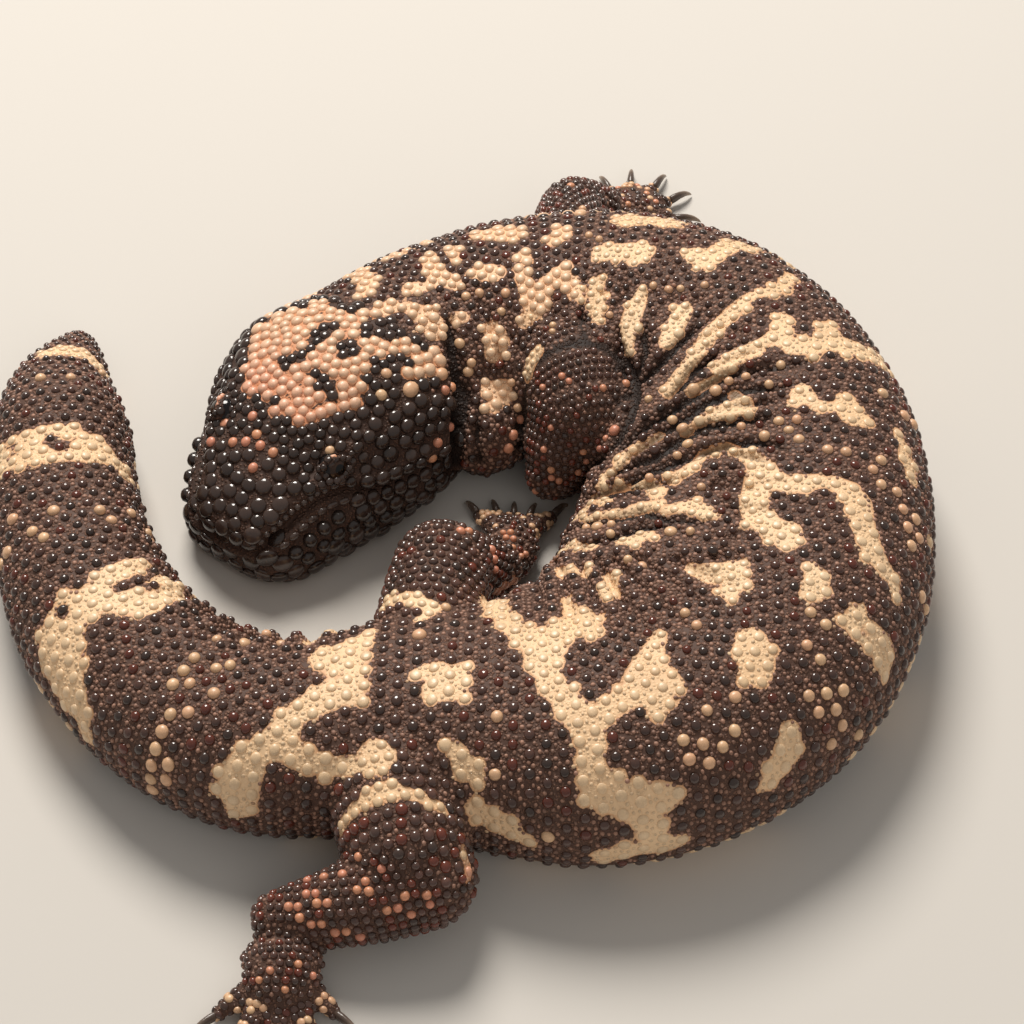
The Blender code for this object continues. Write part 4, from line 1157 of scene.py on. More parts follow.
# The beads within this of an eye's middle are small: least spacing, and growth with distance.
EYE_NEAR, EYE_NEAR_SPACING = 6.5, (1.5, 0.3)
EYE_CLEAR = (1.12, 6.0)    # no bead is within this many openings and this distance of an eye
CHEEK_TOP, CHEEK_END = (0.66, 0.9), (40.0, 48.0)  # shares of the height, distances from the snout
SNOUT_END, JAW_END = 15.0, 30.0
MOUTH_CLEAR = (1.15, 43.0)  # no free bead is this near the lip line, up to this distance
LIP_INSET = 0.6
# Order of laying on the limbs, and what it changes by from part to part and from row to row.
LIMB_ORDERS = (3.0, -0.1, 0.01)
# The lids' grains and the lips' plates are laid first, and stay put; the rest of the head is free.
GRAIN_ORDER, PLATE_ORDER, FIXED_ORDER = -4.0, -3.0, -2.0
EVENING_ROUNDS, EVENING_REACH, EVENING_GAP, EVENING_PUSH = 6, 1.15, 1.04, 0.3
# Spacing on the upper part, lower part, palm and toes of each leg.
LIMB_SPACINGS = {
    "front_left": (1.5, 1.5, 1.3, 1.15),
    "front_right": (1.9, 1.8, 1.45, 1.3),
    "hind_left": (2.15, 1.9, 1.45, 1.25),
    "hind_right": (2.4, 1.85, 1.6, 1.45),
}


def body_places(spine, depth):
    """Staggered rows of beads across the body: place, spacing and order of laying."""
    turns = np.linspace(-0.5 * math.pi, 1.5 * math.pi, BODY_SAMPLES)
    places, spacings, orders = [], [], []
    for k, s in enumerate(row_places(spine)):
        if s < 0.5:
            continue
        spacing = float(bead_spacing(s))
        loop = body_points(spine, np.full(BODY_SAMPLES, s), turns, depth, SKIN_FLOOR)
        arc = np.concatenate(([0.0], np.cumsum(np.linalg.norm(np.diff(loop, axis=0), axis=1))))
        crest = arc[BODY_SAMPLES // 2]
        shift = 0.5 * (k % 2)
        steps = np.arange(-math.floor(crest / spacing), math.floor((arc[-1] - crest) / spacing)) + shift
        at = crest + steps * spacing
        at = at[(at > 0.0) & (at < arc[-1])]
        turn = np.interp(at, arc, turns)
        row = body_points(spine, np.full(len(turn), s), turn, depth, SKIN_FLOOR)
        inward, _ = inner_offset(spine, row, np.full(len(turn), s))
        crowding = row_stretch(spine, s, inward) / row_stretch(spine, s)
        places.append(row)
        spacings.append(spacing * np.sqrt(np.clip(crowding, *CROWDING)))
        orders.append(np.full(len(turn), ROW_ORDER[k % FOLD_ROWS]) + np.abs(at - crest) * 1e-4)
    return np.concatenate(places), np.concatenate(spacings), np.concatenate(orders)


def limb_places(depth):
    """Rows of beads round every limb, palm and toe."""
    places, spacings, orders = [], [], []
    for name, leg in LEGS.items():
        inset = depth * LIMB_DEPTH_SHARE
        paths = (leg["upper"], leg["lower"], palm_path(leg))
        runs = [(path, kind, LIMB_SQUASH[kind], inset) for kind, path in enumerate(paths)]
        inset = depth * TOE_DEPTH_SHARE
        runs += [(toe_path(leg, toe), 3, None, inset) for toe in range(len(leg["toe_angles"]))]
        for path, kind, squash, inset in runs:
            spacing = LIMB_SPACINGS[name][kind]
            rows = tube_rings(path, ROW_SHARE * spacing, inset, round_start=kind == 0)
            for k, row in enumerate(rows):
                sides = max(1, round(2.0 * math.pi * row[2] / spacing))
                ring = tube_grid([row], sides * 2, TOE_FLOOR, squash)[0][0][k % 2::2]
                places.append(ring)
                spacings.append(np.full(len(ring), spacing))
                first, by_part, by_row = LIMB_ORDERS
                orders.append(np.full(len(ring), first + by_part * kind + by_row * (k % 4)))
    return np.concatenate(places), np.concatenate(spacings), np.concatenate(orders)


def with_arm_bulge(surface, points, marks):
    """Coordinates of points, with the arm's bulge over the flank counted to the arm."""
    marks = marks.copy()
    bulge = cover(points, lay_dabs(surface, (ARM_BULGE,))) > 0.0
    marks[bulge & (marks[:, 0] == BODY), 0] = LIMB
    return marks


def side_place(distance, side, z):
    """Place on the head's flank at a height."""
    _, crown, girth, _ = head_sizes(distance)
    over = np.clip((z - girth) / (crown - girth), 0.0, 1.0) ** (1.0 / SIDE_FULLNESS)
    under = np.clip((girth - z) / girth, 0.0, 1.0) ** (1.0 / JAW_FULLNESS)
    turn = np.arcsin(over) - np.arcsin(under)
    return head_points(distance, turn if side > 0.0 else math.pi - turn, LIP_INSET, SKIN_FLOOR)


def head_places(surface, marks):
    """Lip plates, eyelid grains and a close cover of plates and beads for the head."""
    places, spacings, orders, styles = [], [], [], []

    def add(points, spacing, order, style=PLAIN):
        places.append(points)
        for values, value in ((spacings, spacing), (orders, order), (styles, style)):
            values.append(np.broadcast_to(value, (len(points),)))

    for side in (1.0, -1.0):
        for style, first, last, step, height, spacing in LIP_ROWS:
            distance = np.arange(first, last, step)
            add(side_place(distance, side, lip_height(distance) + height), spacing, PLATE_ORDER, style)
        centre, outward, forward, upward = eye_frame(side)
        for ring, (count, spread) in enumerate(EYELID_RINGS):
            turn = 2.0 * math.pi * (np.arange(count) + 0.5 * ring) / count
            offset = (np.cos(turn)[:, None] * forward * EYE_OPENING[0] * spread
                      + np.sin(turn)[:, None] * upward * EYE_OPENING[1] * spread * EYELID_HEIGHT)
            add(centre + outward * EYELID_DISTANCE + offset, EYE_GRAINS, GRAIN_ORDER)
    on_head = np.flatnonzero(marks[:, 0] == HEAD)
    points = surface.points[on_head]
    distance, across, z = head_coordinates(points)
    _, crown, girth, _ = head_sizes(np.clip(distance, 0.0, HEAD_LENGTH))
    mouth = lip_height(distance)
    low = 1.0 - smooth_step(*CHEEK_TOP, (z - girth) / (crown - girth))
    spacing = HEAD_BEADS + (CHEEK_BEADS - HEAD_BEADS) * low * (1.0 - smooth_step(*CHEEK_END, distance))
    spacing = np.where((distance < SNOUT_END) & (z > mouth), SNOUT_PLATES, spacing)
    spacing = np.where((z < mouth) & (distance < JAW_END), JAW_PLATES, spacing)
    for side in (1.0, -1.0):
        centre, outward, forward, upward = eye_frame(side)
        local = points - centre
        away = np.linalg.norm(local, axis=1)
        least, growth = EYE_NEAR_SPACING
        spacing = np.where(away < EYE_NEAR, least + (away - EYE_RADIUS) * growth, spacing)
        spread = np.hypot(local @ forward / EYE_OPENING[0], local @ upward / EYE_OPENING[1])
        blocked = (spread < EYE_CLEAR[0]) & (local @ outward > 0.0) & (away < EYE_CLEAR[1])
        points, distance, across, z, mouth, spacing = (
            value[~blocked] for value in (points, distance, across, z, mouth, spacing))
    free = ~((np.abs(z - mouth) < MOUTH_CLEAR[0]) & (distance < MOUTH_CLEAR[1]))
    order = np.random.default_rng(SEED).random(len(points)) * 0.5 - 1.0
    add(points[free], spacing[free], order[free])
    return tuple(np.concatenate(values) for values in (places, spacings, orders, styles))


def thin_out(places, spacings, orders, share):
    """Keep places in their order as long as none comes closer than a share of the spacing."""
    grid = {}
    kept = []
    reaches = spacings * share
    keys = np.floor(places / reaches.max()).astype(int).tolist()
    points = np.column_stack((places, reaches)).tolist()
    near = [(i, j, k) for i in (-1, 0, 1) for j in (-1, 0, 1) for k in (-1, 0, 1)]
    for index in np.argsort(orders, kind="stable").tolist():
        x, y, z, reach = points[index]
        a, b, c = keys[index]
        others = (other for i, j, k in near for other in grid.get((a + i, b + j, c + k), ()))
        if all((x - p) ** 2 + (y - q) ** 2 + (z - r) ** 2 >= (0.5 * (reach + other_reach)) ** 2
               for p, q, r, other_reach in others):
            grid.setdefault((a, b, c), []).append((x, y, z, reach))
            kept.append(index)
    return np.array(kept)


def spread_evenly(surface, places, spacings, free):
    """Let the free beads push one another apart along the skin."""
    chosen = np.flatnonzero(free)
    for _ in range(EVENING_ROUNDS):
        tree = place_tree(places)
        pairs = [(k, other) for k in chosen.tolist()
                 for _, other, _ in tree.find_range(places[k], spacings[k] * EVENING_REACH) if other != k]
        first, second = np.array(pairs).T
        gap = places[first] - places[second]
        size = np.maximum(np.linalg.norm(gap, axis=1), 1e-6)
        wanted = 0.5 * (spacings[first] + spacings[second]) * EVENING_GAP
        push = gap / size[:, None] * np.maximum(wanted - size, 0.0)[:, None] * EVENING_PUSH
        moved = places.copy()
        for axis in range(3):
            moved[:, axis] += np.bincount(first, push[:, axis], len(places))
        places = places.copy()
        places[chosen] = surface.snap(moved[chosen])[0]
    return places


# ---------------------------------------------------------------------------- bead kinds and colours
DARK, PATCH, LONE = 0, 1, 2
# Distances along the crest where the neck's beads end, and where the tail's beads and its rings begin.
NECK_END, TAIL_START, RINGS_START = 42.0, 205.0, 232.0
RING_STEP, RING_SHARE = 2.5, 0.48  # a stretch of tail is a ring where more than this share of it is pale
BLOTCH_SIZES, BLOTCH_WEIGHT, BLOTCH_LIMIT = (15.0, 6.5), 0.45, 0.26
# The unseen side of the head is pale only above about this: level, and height and size of its unevenness.
CROWN_LEVEL, CROWN_EDGE = 19.5, (2.0, 6.0)
SMALL_BLOTCH = 5.0         # size of the head's and the limbs' blotches, and their limits
CROWN_LIMIT, LIMB_LIMIT = -0.2, 0.45
BODY_MARGIN, UNSEEN_MARGIN = -0.3, -3.0  # how far outside a drawn patch a bead may lie, and must lie
BELLY_LEVEL, BELLY_FACING = 3.2, -0.2  # scales below this, where the skin faces down, are belly scales
BELLY_SCALE = (0.46, 0.3)  # their radius over the spacing, and height
PINK_GROUPS = ("snout", "jowl", "left_arm", "left_knee", "right_shank", "right_foot", "far_hand")
LONE_REACH = 2.6           # a lone spot colours the nearest bead, within this
# Radius over spacing, height in millimetres, for dark, patch and lone beads.
BEAD_SHAPES = {
    "neck": ((0.37, 0.62), (0.46, 0.60), (0.46, 0.80)),
    "trunk": ((0.285, 0.62), (0.31, 0.37), (0.33, 0.78)),
    "tail": ((0.30, 0.68), (0.33, 0.42), (0.37, 0.82)),
    "head": ((0.53, 0.85), (0.60, 0.95), (0.55, 0.95)),
    "limb": ((0.45, 0.76), (0.40, 0.46), (0.46, 0.78)),
    "toe": ((0.50, 0.34), (0.52, 0.36), (0.52, 0.42)),
}
# Radius over spacing, height and lengthening of the plates along the lips, and their colour.
PLATE_STYLES = {
    LABIAL: (0.50, 0.60, 1.0, (0.085, 0.058, 0.048)),
    LIP: (0.56, 0.42, 1.5, (0.085, 0.056, 0.046)),
    ROSETTE: (0.475, 1.3, 1.0, (0.036, 0.024, 0.020)),
}
LONE_SNOUT_RADIUS = 1.0
HEAD_TOUCH = 1.03          # the head's beads: size over just touching
HEAD_RISE = ((5.0, 22.0), (0.38, 0.60))  # distances from the snout, and height over radius there
CROWN_GAP_TONE_AND_SHADE = (0.78, 0.62, 0.56)  # colour of the skin between pale beads on the head, over theirs: partly its own tone, partly painted shade between the beads
LARGEST_RISE = 0.95        # height of a bead over its radius, at most
CREAM = (0.87, 0.645, 0.41)
CREAM_DEEP = (0.80, 0.53, 0.30)
PINK = (0.84, 0.42, 0.28)
PINK_DEEP = (0.70, 0.27, 0.17)
ORANGE = (0.72, 0.33, 0.17)
HEAD_SHADE = 0.62          # hide colour of the head over the body's
LIMB_PAINTED_SHEEN = 1.35          # painted sheen: the legs' dark beads are this much lighter than the body's, for their brighter highlights
PAINTED_CREASE_SHADE = 0.82        # painted shade: how much darker the skin is painted down in a crease
BEAD_BLACK = np.array((0.046, 0.028, 0.022))
BEAD_BROWN = (0.112, 0.052, 0.038)
BEAD_RUSSET = (0.125, 0.032, 0.019)
DOME = ((1.04, -0.42), (0.97, 0.20), (0.80, 0.62), (0.45, 0.92))  # ring radius and height shares
DOME_SIDES = 10
GRANULE = ((1.0, -0.3), (0.72, 0.66))
GRANULE_SIDES = 6
GRANULE_SPACING = 0.95
GRANULE_SIZE = (0.47, 0.30)  # radius and height
GRANULE_SATIN = 2.0        # beads run from 0, glossy, over 1, satin, to 2, dull
UV_PATCH = 0.003
PATCH_GROWTH = 0.35        # added to the radius of every drawn dab
# Pale bands along the toes: radians per millimetre, shift from toe to toe, and least wave.
TOE_BANDS, TOE_SHIFT, TOE_BAND_LEAST = 1.35, 1.7, 0.25
BEAD_SHADES = 0.12         # spread of lightness from bead to bead
COLOUR_DRIFT = 22.0        # size of the slow changes of colour
RUSSET_CHANCE = (0.93, 0.12)  # chance above which a dark bead is russet, and how far the drift lowers it
# Shares of the second colour: of cream by drift and chance, of pink by chance and of cream on it by
# drift, and of lone beads, least and by chance.
CREAM_SHARES, PINK_SHARES, LONE_SHARES = (0.55, 0.25), (0.5, 0.35), (0.08, 0.3)
CREAMY_SHARE, NECK_PINK, LIMB_ORANGE = 0.6, 0.25, 0.35
HEAD_BLACKS = (0.7, 0.7)   # least lightness of the head's dark beads, and its spread
CREAMY_CROWN = (22.0, 42.0)  # distances from the snout over which pink turns creamy
TOUCH_LIMITS = (0.42, 0.66)  # least and greatest radius of the head's beads over the spacing
# Fields of the flat layout: left, bottom, width and height.  The legs' fields stand side by side.
BODY_FIELD = (0.02, 0.02, 0.95, 0.50)
HEAD_FIELD = (0.02, 0.56, 0.24, 0.40)
LEG_FIELDS = (0.30, 0.17, 0.15)  # left of the first, step, width
LEG_RUN = (14.0, 70.0)     # distance before a limb's start that its field takes in, and its length
LEG_ROWS = ((0.56, 0.70, 0.82), (0.13, 0.11, 0.05))  # bottoms and heights of upper, lower and palm
TOE_ROWS = (0.88, 0.02, 0.016)  # bottom of the first toe's row, step, height


def region_names(marks):
    """Region of each bead from its coordinates on the outline."""
    part, run = marks[:, 0], marks[:, 1]
    kind = (part - LIMB) % 10
    body = np.select([run < NECK_END, run > TAIL_START], ["neck", "tail"], "trunk")
    limb = np.where(kind >= 3, "toe", "limb")
    return np.where(part == HEAD, "head", np.where(part >= LIMB, limb, body))


def hidden_pattern(places, marks, seen, pale):
    """Markings where the camera can't see: rings run on round the tail, blotches elsewhere."""
    large, small = BLOTCH_SIZES
    blotch = soft_noise(places, large, 7) + BLOTCH_WEIGHT * soft_noise(places, small, 8) > BLOTCH_LIMIT
    on_body = marks[:, 0] == BODY
    bins = np.floor(np.maximum(marks[:, 1], 0.0) / RING_STEP).astype(int)
    known = seen & on_body
    total = np.bincount(bins[known], minlength=bins.max() + 1)
    lit = np.bincount(bins[known], pale[known], minlength=bins.max() + 1)
    ring = (lit / np.maximum(total, 1) > RING_SHARE)[bins]
    blotch = np.where(on_body & (marks[:, 1] > RINGS_START), ring, blotch)
    crown = places[:, 2] + CROWN_EDGE[0] * soft_noise(places, CROWN_EDGE[1], 9) > CROWN_LEVEL
    crown &= blotch | (soft_noise(places, SMALL_BLOTCH, 10) > CROWN_LIMIT)
    blotch = np.where(marks[:, 0] == HEAD, crown, blotch)
    return np.where(marks[:, 0] >= LIMB, soft_noise(places, SMALL_BLOTCH, 11) > LIMB_LIMIT, blotch)


def pale_field(surface, points):
    """How far inside the pale patches each point lies; negative outside."""
    patches = cover(points, lay_dabs(surface, PALE_PATCHES.values())) + PATCH_GROWTH
    gaps = cover(points, lay_dabs(surface, DARK_GAPS.values()))
    return np.minimum(patches, -gaps)


def colour_beads(surface, places, normals, marks):
    """Kind of each bead, whether it is an orange one, and whether the camera sees it."""
    field = pale_field(surface, places)
    seen = surface.seen(places, normals)
    on_limb = marks[:, 0] >= LIMB
    pale = field > np.where(marks[:, 0] == BODY, BODY_MARGIN, 0.0)
    kinds = np.where(pale, PATCH, DARK)
    pattern = hidden_pattern(places, marks, seen, pale) & ~seen & (field < UNSEEN_MARGIN)
    kinds = np.where(pattern, np.where(on_limb, LONE, PATCH), kinds)
    kind = (marks[:, 0] - LIMB) % 10
    wave = np.sin(marks[:, 1] * TOE_BANDS + kind * TOE_SHIFT)
    kinds = np.where(on_limb & (kind > 2) & (wave > TOE_BAND_LEAST), LONE, kinds)
    tree = place_tree(places)
    orange = np.zeros(len(places), bool)
    for group, spots in LONE_BEADS.items():
        for spot in lay_dabs(surface, (spots,))[0]:
            _, index, gap = tree.find(spot[:3])
            if gap < LONE_REACH:
                kinds[index] = LONE
                orange[index] = group in PINK_GROUPS
    return kinds, orange, seen


def bead_colours(places, marks, kinds, orange, regions):
    """Colour of each bead, from its kind and region, with some drift and chance."""
    count = len(places)
    random = np.random.default_rng(SEED + 1)
    chance = random.random((count, 1))
    shade = 1.0 + BEAD_SHADES * (random.random((count, 1)) - 0.5)
    slow = 0.5 + 0.5 * soft_noise(places, COLOUR_DRIFT, 12)[:, None]
    head, neck, limb = ((regions == name)[:, None] for name in ("head", "neck", "limb"))
    dark = np.where(chance > RUSSET_CHANCE[0] - RUSSET_CHANCE[1] * slow, BEAD_RUSSET,
                    blend(BEAD_BLACK, BEAD_BROWN, chance))
    # Painted sheen: the legs' dark beads are lightened
    dark = np.where(limb, dark * LIMB_PAINTED_SHEEN, dark)
    dark = np.where(head, BEAD_BLACK * (HEAD_BLACKS[0] + HEAD_BLACKS[1] * chance), dark)
    patch = blend(CREAM, CREAM_DEEP, CREAM_SHARES[0] * slow + CREAM_SHARES[1] * chance)
    pink = blend(PINK, PINK_DEEP, PINK_SHARES[0] * chance ** 2)
    pink = pink + (np.array(CREAM) - PINK) * (PINK_SHARES[1] * slow)
    creamy = smooth_step(*CREAMY_CROWN, head_coordinates(places)[0])[:, None] * CREAMY_SHARE
    patch = np.where(head, blend(pink, CREAM, creamy), patch)
    patch = np.where(neck, blend(patch, PINK, NECK_PINK), patch)
    low_limb = ((marks[:, 0] >= LIMB) & ((marks[:, 0] - LIMB) % 10 > 0))[:, None]
    patch = np.where(low_limb, blend(PINK, ORANGE, LIMB_ORANGE * chance), patch)
    lone = blend(CREAM_DEEP, PINK_DEEP, LONE_SHARES[0] + LONE_SHARES[1] * chance)
    lone = np.where(orange[:, None], blend(PINK_DEEP, ORANGE, chance), lone)
    colour = np.where((kinds == PATCH)[:, None], patch, np.where((kinds == LONE)[:, None], lone, dark))
    return np.clip(colour * shade, 0.0, 1.0)


def touching_radius(places, spacings):
    """Half the mean way to the four nearest beads, kept near half of the spacing."""
    tree = place_tree(places)
    gaps = np.array([[found[2] for found in tree.find_n(p, 5)[1:]] for p in places.tolist()])
    return np.clip(0.5 * gaps.mean(axis=1), *(limit * spacings for limit in TOUCH_LIMITS))


# ---------------------------------------------------------------------------- meshes
def dome_template(rings, sides):
    """Unit dome: positions as x, y and height, and its triangles."""
    points = []
    for ring, (radius, height) in enumerate(rings):
        turn = 2.0 * math.pi * (np.arange(sides) + 0.5 * (ring % 2)) / sides
        points.append(np.stack((radius * np.cos(turn), radius * np.sin(turn), np.full(sides, height)), -1))
    points = np.concatenate(points + [np.array(((0.0, 0.0, 1.0),))])
    faces = []
    for ring in range(len(rings) - 1):
        for k in range(sides):
            a = ring * sides + k
            b = ring * sides + (k + 1) % sides
            c = a + sides
            d = b + sides
            faces += [(a, b, c), (b, d, c)] if ring % 2 == 0 else [(a, b, d), (a, d, c)]
    last = (len(rings) - 1) * sides
    faces += [(last + k, last + (k + 1) % sides, len(points) - 1) for k in range(sides)]
    faces += [(0, k + 1, k) for k in range(1, sides - 1)]
    return points, np.array(faces)


def mesh_from_triangles(name, points, triangles):
    """A smooth mesh, in metres, from layout millimetres."""
    mesh = bpy.data.meshes.new(name)
    mesh.vertices.add(len(points))
    mesh.vertices.foreach_set("co", ((points + LAYOUT_OFFSET) * MM).astype(np.float32).ravel())
    mesh.loops.add(len(triangles) * 3)
    mesh.loops.foreach_set("vertex_index", triangles.astype(np.int32).ravel())
    mesh.polygons.add(len(triangles))
    mesh.polygons.foreach_set("loop_start", np.arange(0, len(triangles) * 3, 3, dtype=np.int32))
    mesh.update(calc_edges=True)
    mesh.shade_smooth()
    if mesh.validate():
        raise RuntimeError(name + " came out with broken faces")
    return mesh


def place_object(name, mesh, material):
    piece = bpy.data.objects.new(name, mesh)
    bpy.context.scene.collection.objects.link(piece)
    mesh.materials.append(material)
    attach(piece, "root")
    return piece


def point_attribute(mesh, name, values):
    kind, key = ("FLOAT_COLOR", "color") if values.ndim == 2 else ("FLOAT", "value")
    made = mesh.attributes.new(name, kind, "POINT")
    if values.ndim == 2:
        values = np.concatenate((values, np.ones((len(values), 1))), 1)
    made.data.foreach_set(key, values.astype(np.float32).ravel())


def unwrap(marks, spine_length):
    """Each root's place on a flat layout of the animal's own shape."""
    part, run, turn = marks.T
    round_share = (turn / (2.0 * math.pi)) % 1.0
    left, bottom, width, height = BODY_FIELD
    u = left + width * (run + NAPE_OVERLAP) / (spine_length + 2.0 * NAPE_OVERLAP)
    v = bottom + height * round_share
    left, bottom, width, height = HEAD_FIELD
    u = np.where(part == HEAD, left + width * run / HEAD_LENGTH, u)
    v = np.where(part == HEAD, bottom + height * round_share, v)
    number, kind = np.divmod(part - LIMB, 10)
    left, step, width = LEG_FIELDS
    before, length = LEG_RUN
    u = np.where(part >= LIMB, left + step * number + width * np.clip((run + before) / length, 0.0, 1.0), u)
    bottoms, heights = LEG_ROWS
    kinds = [kind == k for k in range(3)]
    bottom = np.select(kinds, bottoms, TOE_ROWS[0] + TOE_ROWS[1] * (kind - 3))
    v = np.where(part >= LIMB, bottom + np.select(kinds, heights, TOE_ROWS[2]) * round_share, v)
    return np.stack((u, v), -1)


def domes(beads, dome):
    """Corners of every bead of one kind of dome."""
    normal = beads["normal"]
    along = unit(beads["along"] - normal * np.einsum("ij,ij->i", beads["along"], normal)[:, None])
    across = np.cross(normal, along)
    x = dome[None, :, 0] * beads["radius"][:, None] * beads["stretch"][:, None]
    y = dome[None, :, 1] * beads["radius"][:, None] / beads["stretch"][:, None]
    above, below = np.maximum(dome[:, 2], 0.0), np.minimum(dome[:, 2], 0.0)
    lift = above * beads["height"][:, None] + below
    points = (beads["place"][:, None] + x[..., None] * along[:, None] + y[..., None] * across[:, None]
              + lift[..., None] * normal[:, None])
    points[..., 2] = np.maximum(points[..., 2], 0.0)
    return points


def bead_mesh(name, beads, granules):
    """Every bead and granule of a piece as one mesh, each closed."""
    points, triangles, colour, satin, uv = [], [], [], [], []
    count = 0
    for group, rings, sides in ((beads, DOME, DOME_SIDES), (granules, GRANULE, GRANULE_SIDES)):
        dome, faces = dome_template(rings, sides)
        total = len(group["place"])
        points.append(domes(group, dome).reshape(-1, 3))
        triangles.append((faces[None] + np.arange(total)[:, None, None] * len(dome)).reshape(-1, 3) + count)
        colour.append(np.repeat(group["colour"], len(dome), axis=0))
        satin.append(np.repeat(group["satin"], len(dome)))
        uv.append((group["uv"][:, None] + dome[None, :, :2] * (UV_PATCH * 0.5)).reshape(-1, 2))
        count += total * len(dome)
    triangles = np.concatenate(triangles)
    mesh = mesh_from_triangles(name, np.concatenate(points), triangles)
    point_attribute(mesh, "bead_colour", np.concatenate(colour))
    point_attribute(mesh, "bead_satin", np.concatenate(satin))
    layer = mesh.uv_layers.new(name="OFBake")
    layer.data.foreach_set("uv", np.concatenate(uv)[triangles.ravel()].astype(np.float32).ravel())
    return mesh


# ---------------------------------------------------------------------------- materials
def add_node(tree, kind, place, sockets=(), **settings):
    """A node at a place in its tree; sockets gives each input a value or an output to link from."""
    made = tree.nodes.new("ShaderNode" + kind)
    made.location = place
    for name, value in settings.items():
        setattr(made, name, value)
    for name, value in dict(sockets).items():
        set_input(tree, made.inputs[name], value)
    return made


def set_input(tree, socket, value):
    if isinstance(value, bpy.types.NodeSocket):
        tree.links.new(value, socket)
    else:
        socket.default_value = value


def new_group(name, inputs, outputs):
    """An empty shader node group with float and colour sockets, and its two end nodes."""
    tree = bpy.data.node_groups.new(name, "ShaderNodeTree")
    for label, default in inputs.items():
        kind = "NodeSocketFloat" if isinstance(default, float) else "NodeSocketColor"
        tree.interface.new_socket(name=label, in_out="INPUT", socket_type=kind).default_value = default
    for label, kind in outputs.items():
        tree.interface.new_socket(name=label, in_out="OUTPUT", socket_type="NodeSocket" + kind)
    start = tree.nodes.new("NodeGroupInput")
    start.location = (-900, 0)
    end = tree.nodes.new("NodeGroupOutput")
    end.location = (700, 0)
    return tree, start.outputs, end.inputs


def mapped(tree, value, place, low, high, first, last, interpolation="SMOOTHSTEP"):
    sockets = {"Value": value, "From Min": low, "From Max": high, "To Min": first, "To Max": last}
    return add_node(tree, "MapRange", place, sockets, interpolation_type=interpolation).outputs["Result"]


def worked_out(tree, operation, place, *values, **settings):
    """A maths node's result; values are numbers or outputs."""
    return add_node(tree, "Math", place, enumerate(values), operation=operation, **settings).outputs[0]


def mixed_colour(tree, factor, first, second, place):
    """Mix two colours, each a socket or a plain colour."""
    first, second = (c if isinstance(c, bpy.types.NodeSocket) else (*c, 1.0) for c in (first, second))
    return add_node(tree, "Mix", place, {"Factor": factor, 6: first, 7: second}, data_type="RGBA").outputs[2]


def attribute(tree, name, place, output="Fac"):
    return add_node(tree, "Attribute", place, attribute_name=name).outputs[output]


def hide_grain_group():
    """Fine granules and creases: a height for bump and a mottling mask."""
    if "Hide Grain" in bpy.data.node_groups:
        return bpy.data.node_groups["Hide Grain"]
    tree, given, end = new_group(
        "Hide Grain", {"Granules per Metre": 1800.0, "Creases per Metre": 420.0, "Crease Share": 0.4},
        {"Height": "Float", "Mottle": "Float"})
    place = add_node(tree, "TexCoord", (-900, -260)).outputs["Object"]
    grains = add_node(tree, "TexVoronoi", (-600, 160), {
        "Vector": place, "Scale": given["Granules per Metre"], "Smoothness": 0.35}, feature="SMOOTH_F1")
    domes = mapped(tree, grains.outputs["Distance"], (-350, 160), 0.05, 0.62, 1.0, 0.0)
    creases = add_node(tree, "TexNoise", (-600, -160), {
        "Vector": place, "Scale": given["Creases per Metre"], "Detail": 4.0, "Roughness": 0.6,
        "Distortion": 0.6}).outputs["Fac"]
    mix = add_node(tree, "Mix", (0, 60), {"Factor": given["Crease Share"], "A": domes, "B": creases})
    set_input(tree, end["Height"], mix.outputs["Result"])
    set_input(tree, end["Mottle"], worked_out(tree, "MULTIPLY", (250, -160), domes, creases))
    return tree


def colour_drift_group():
    """A colour that drifts slowly lighter and darker over the surface, with fine flecks."""
    if "Colour Drift" in bpy.data.node_groups:
        return bpy.data.node_groups["Colour Drift"]
    colours = {"Colour": (0.5, 0.5, 0.5, 1.0), "Deep Colour": (0.3, 0.3, 0.3, 1.0)}
    tree, given, end = new_group(
        "Colour Drift", {**colours, "Slow Drift": 0.3, "Flecks": 0.15}, {"Colour": "Color", "Drift": "Float"})
    place = add_node(tree, "TexCoord", (-900, -260)).outputs["Object"]
    parts = []
    for height, scale, detail, share in ((120, 90.0, 2.0, "Slow Drift"), (-160, 1300.0, 3.0, "Flecks")):
        sockets = {"Vector": place, "Scale": scale, "Detail": detail}
        drift = add_node(tree, "TexNoise", (-600, height), sockets).outputs["Fac"]
        parts.append(worked_out(tree, "MULTIPLY", (-300, height), drift, given[share]))
    total = worked_out(tree, "ADD", (-60, 0), *parts, use_clamp=True)
    colour = mixed_colour(tree, total, given["Colour"], given["Deep Colour"], (250, 60))
    set_input(tree, end["Colour"], colour)
    set_input(tree, end["Drift"], total)
    return tree


def start_material(name):
    material = bpy.data.materials.new(name)
    material.use_nodes = True
    tree = material.node_tree
    shader = tree.nodes["Principled BSDF"]
    shader.location = (900, 0)
    tree.nodes["Material Output"].location = (1200, 0)
    return material, tree, shader.inputs


def place_group(tree, group, place, **values):
    """A node group in a material; values are its inputs by name."""
    sockets = {name.replace("_", " "): value for name, value in values.items()}
    return add_node(tree, "Group", place, sockets, node_tree=group).outputs


def add_bump(tree, shader, height, place, strength, distance):
    bump = add_node(tree, "Bump", place, {"Strength": strength, "Distance": distance, "Height": height})
    set_input(tree, shader["Normal"], bump.outputs["Normal"])


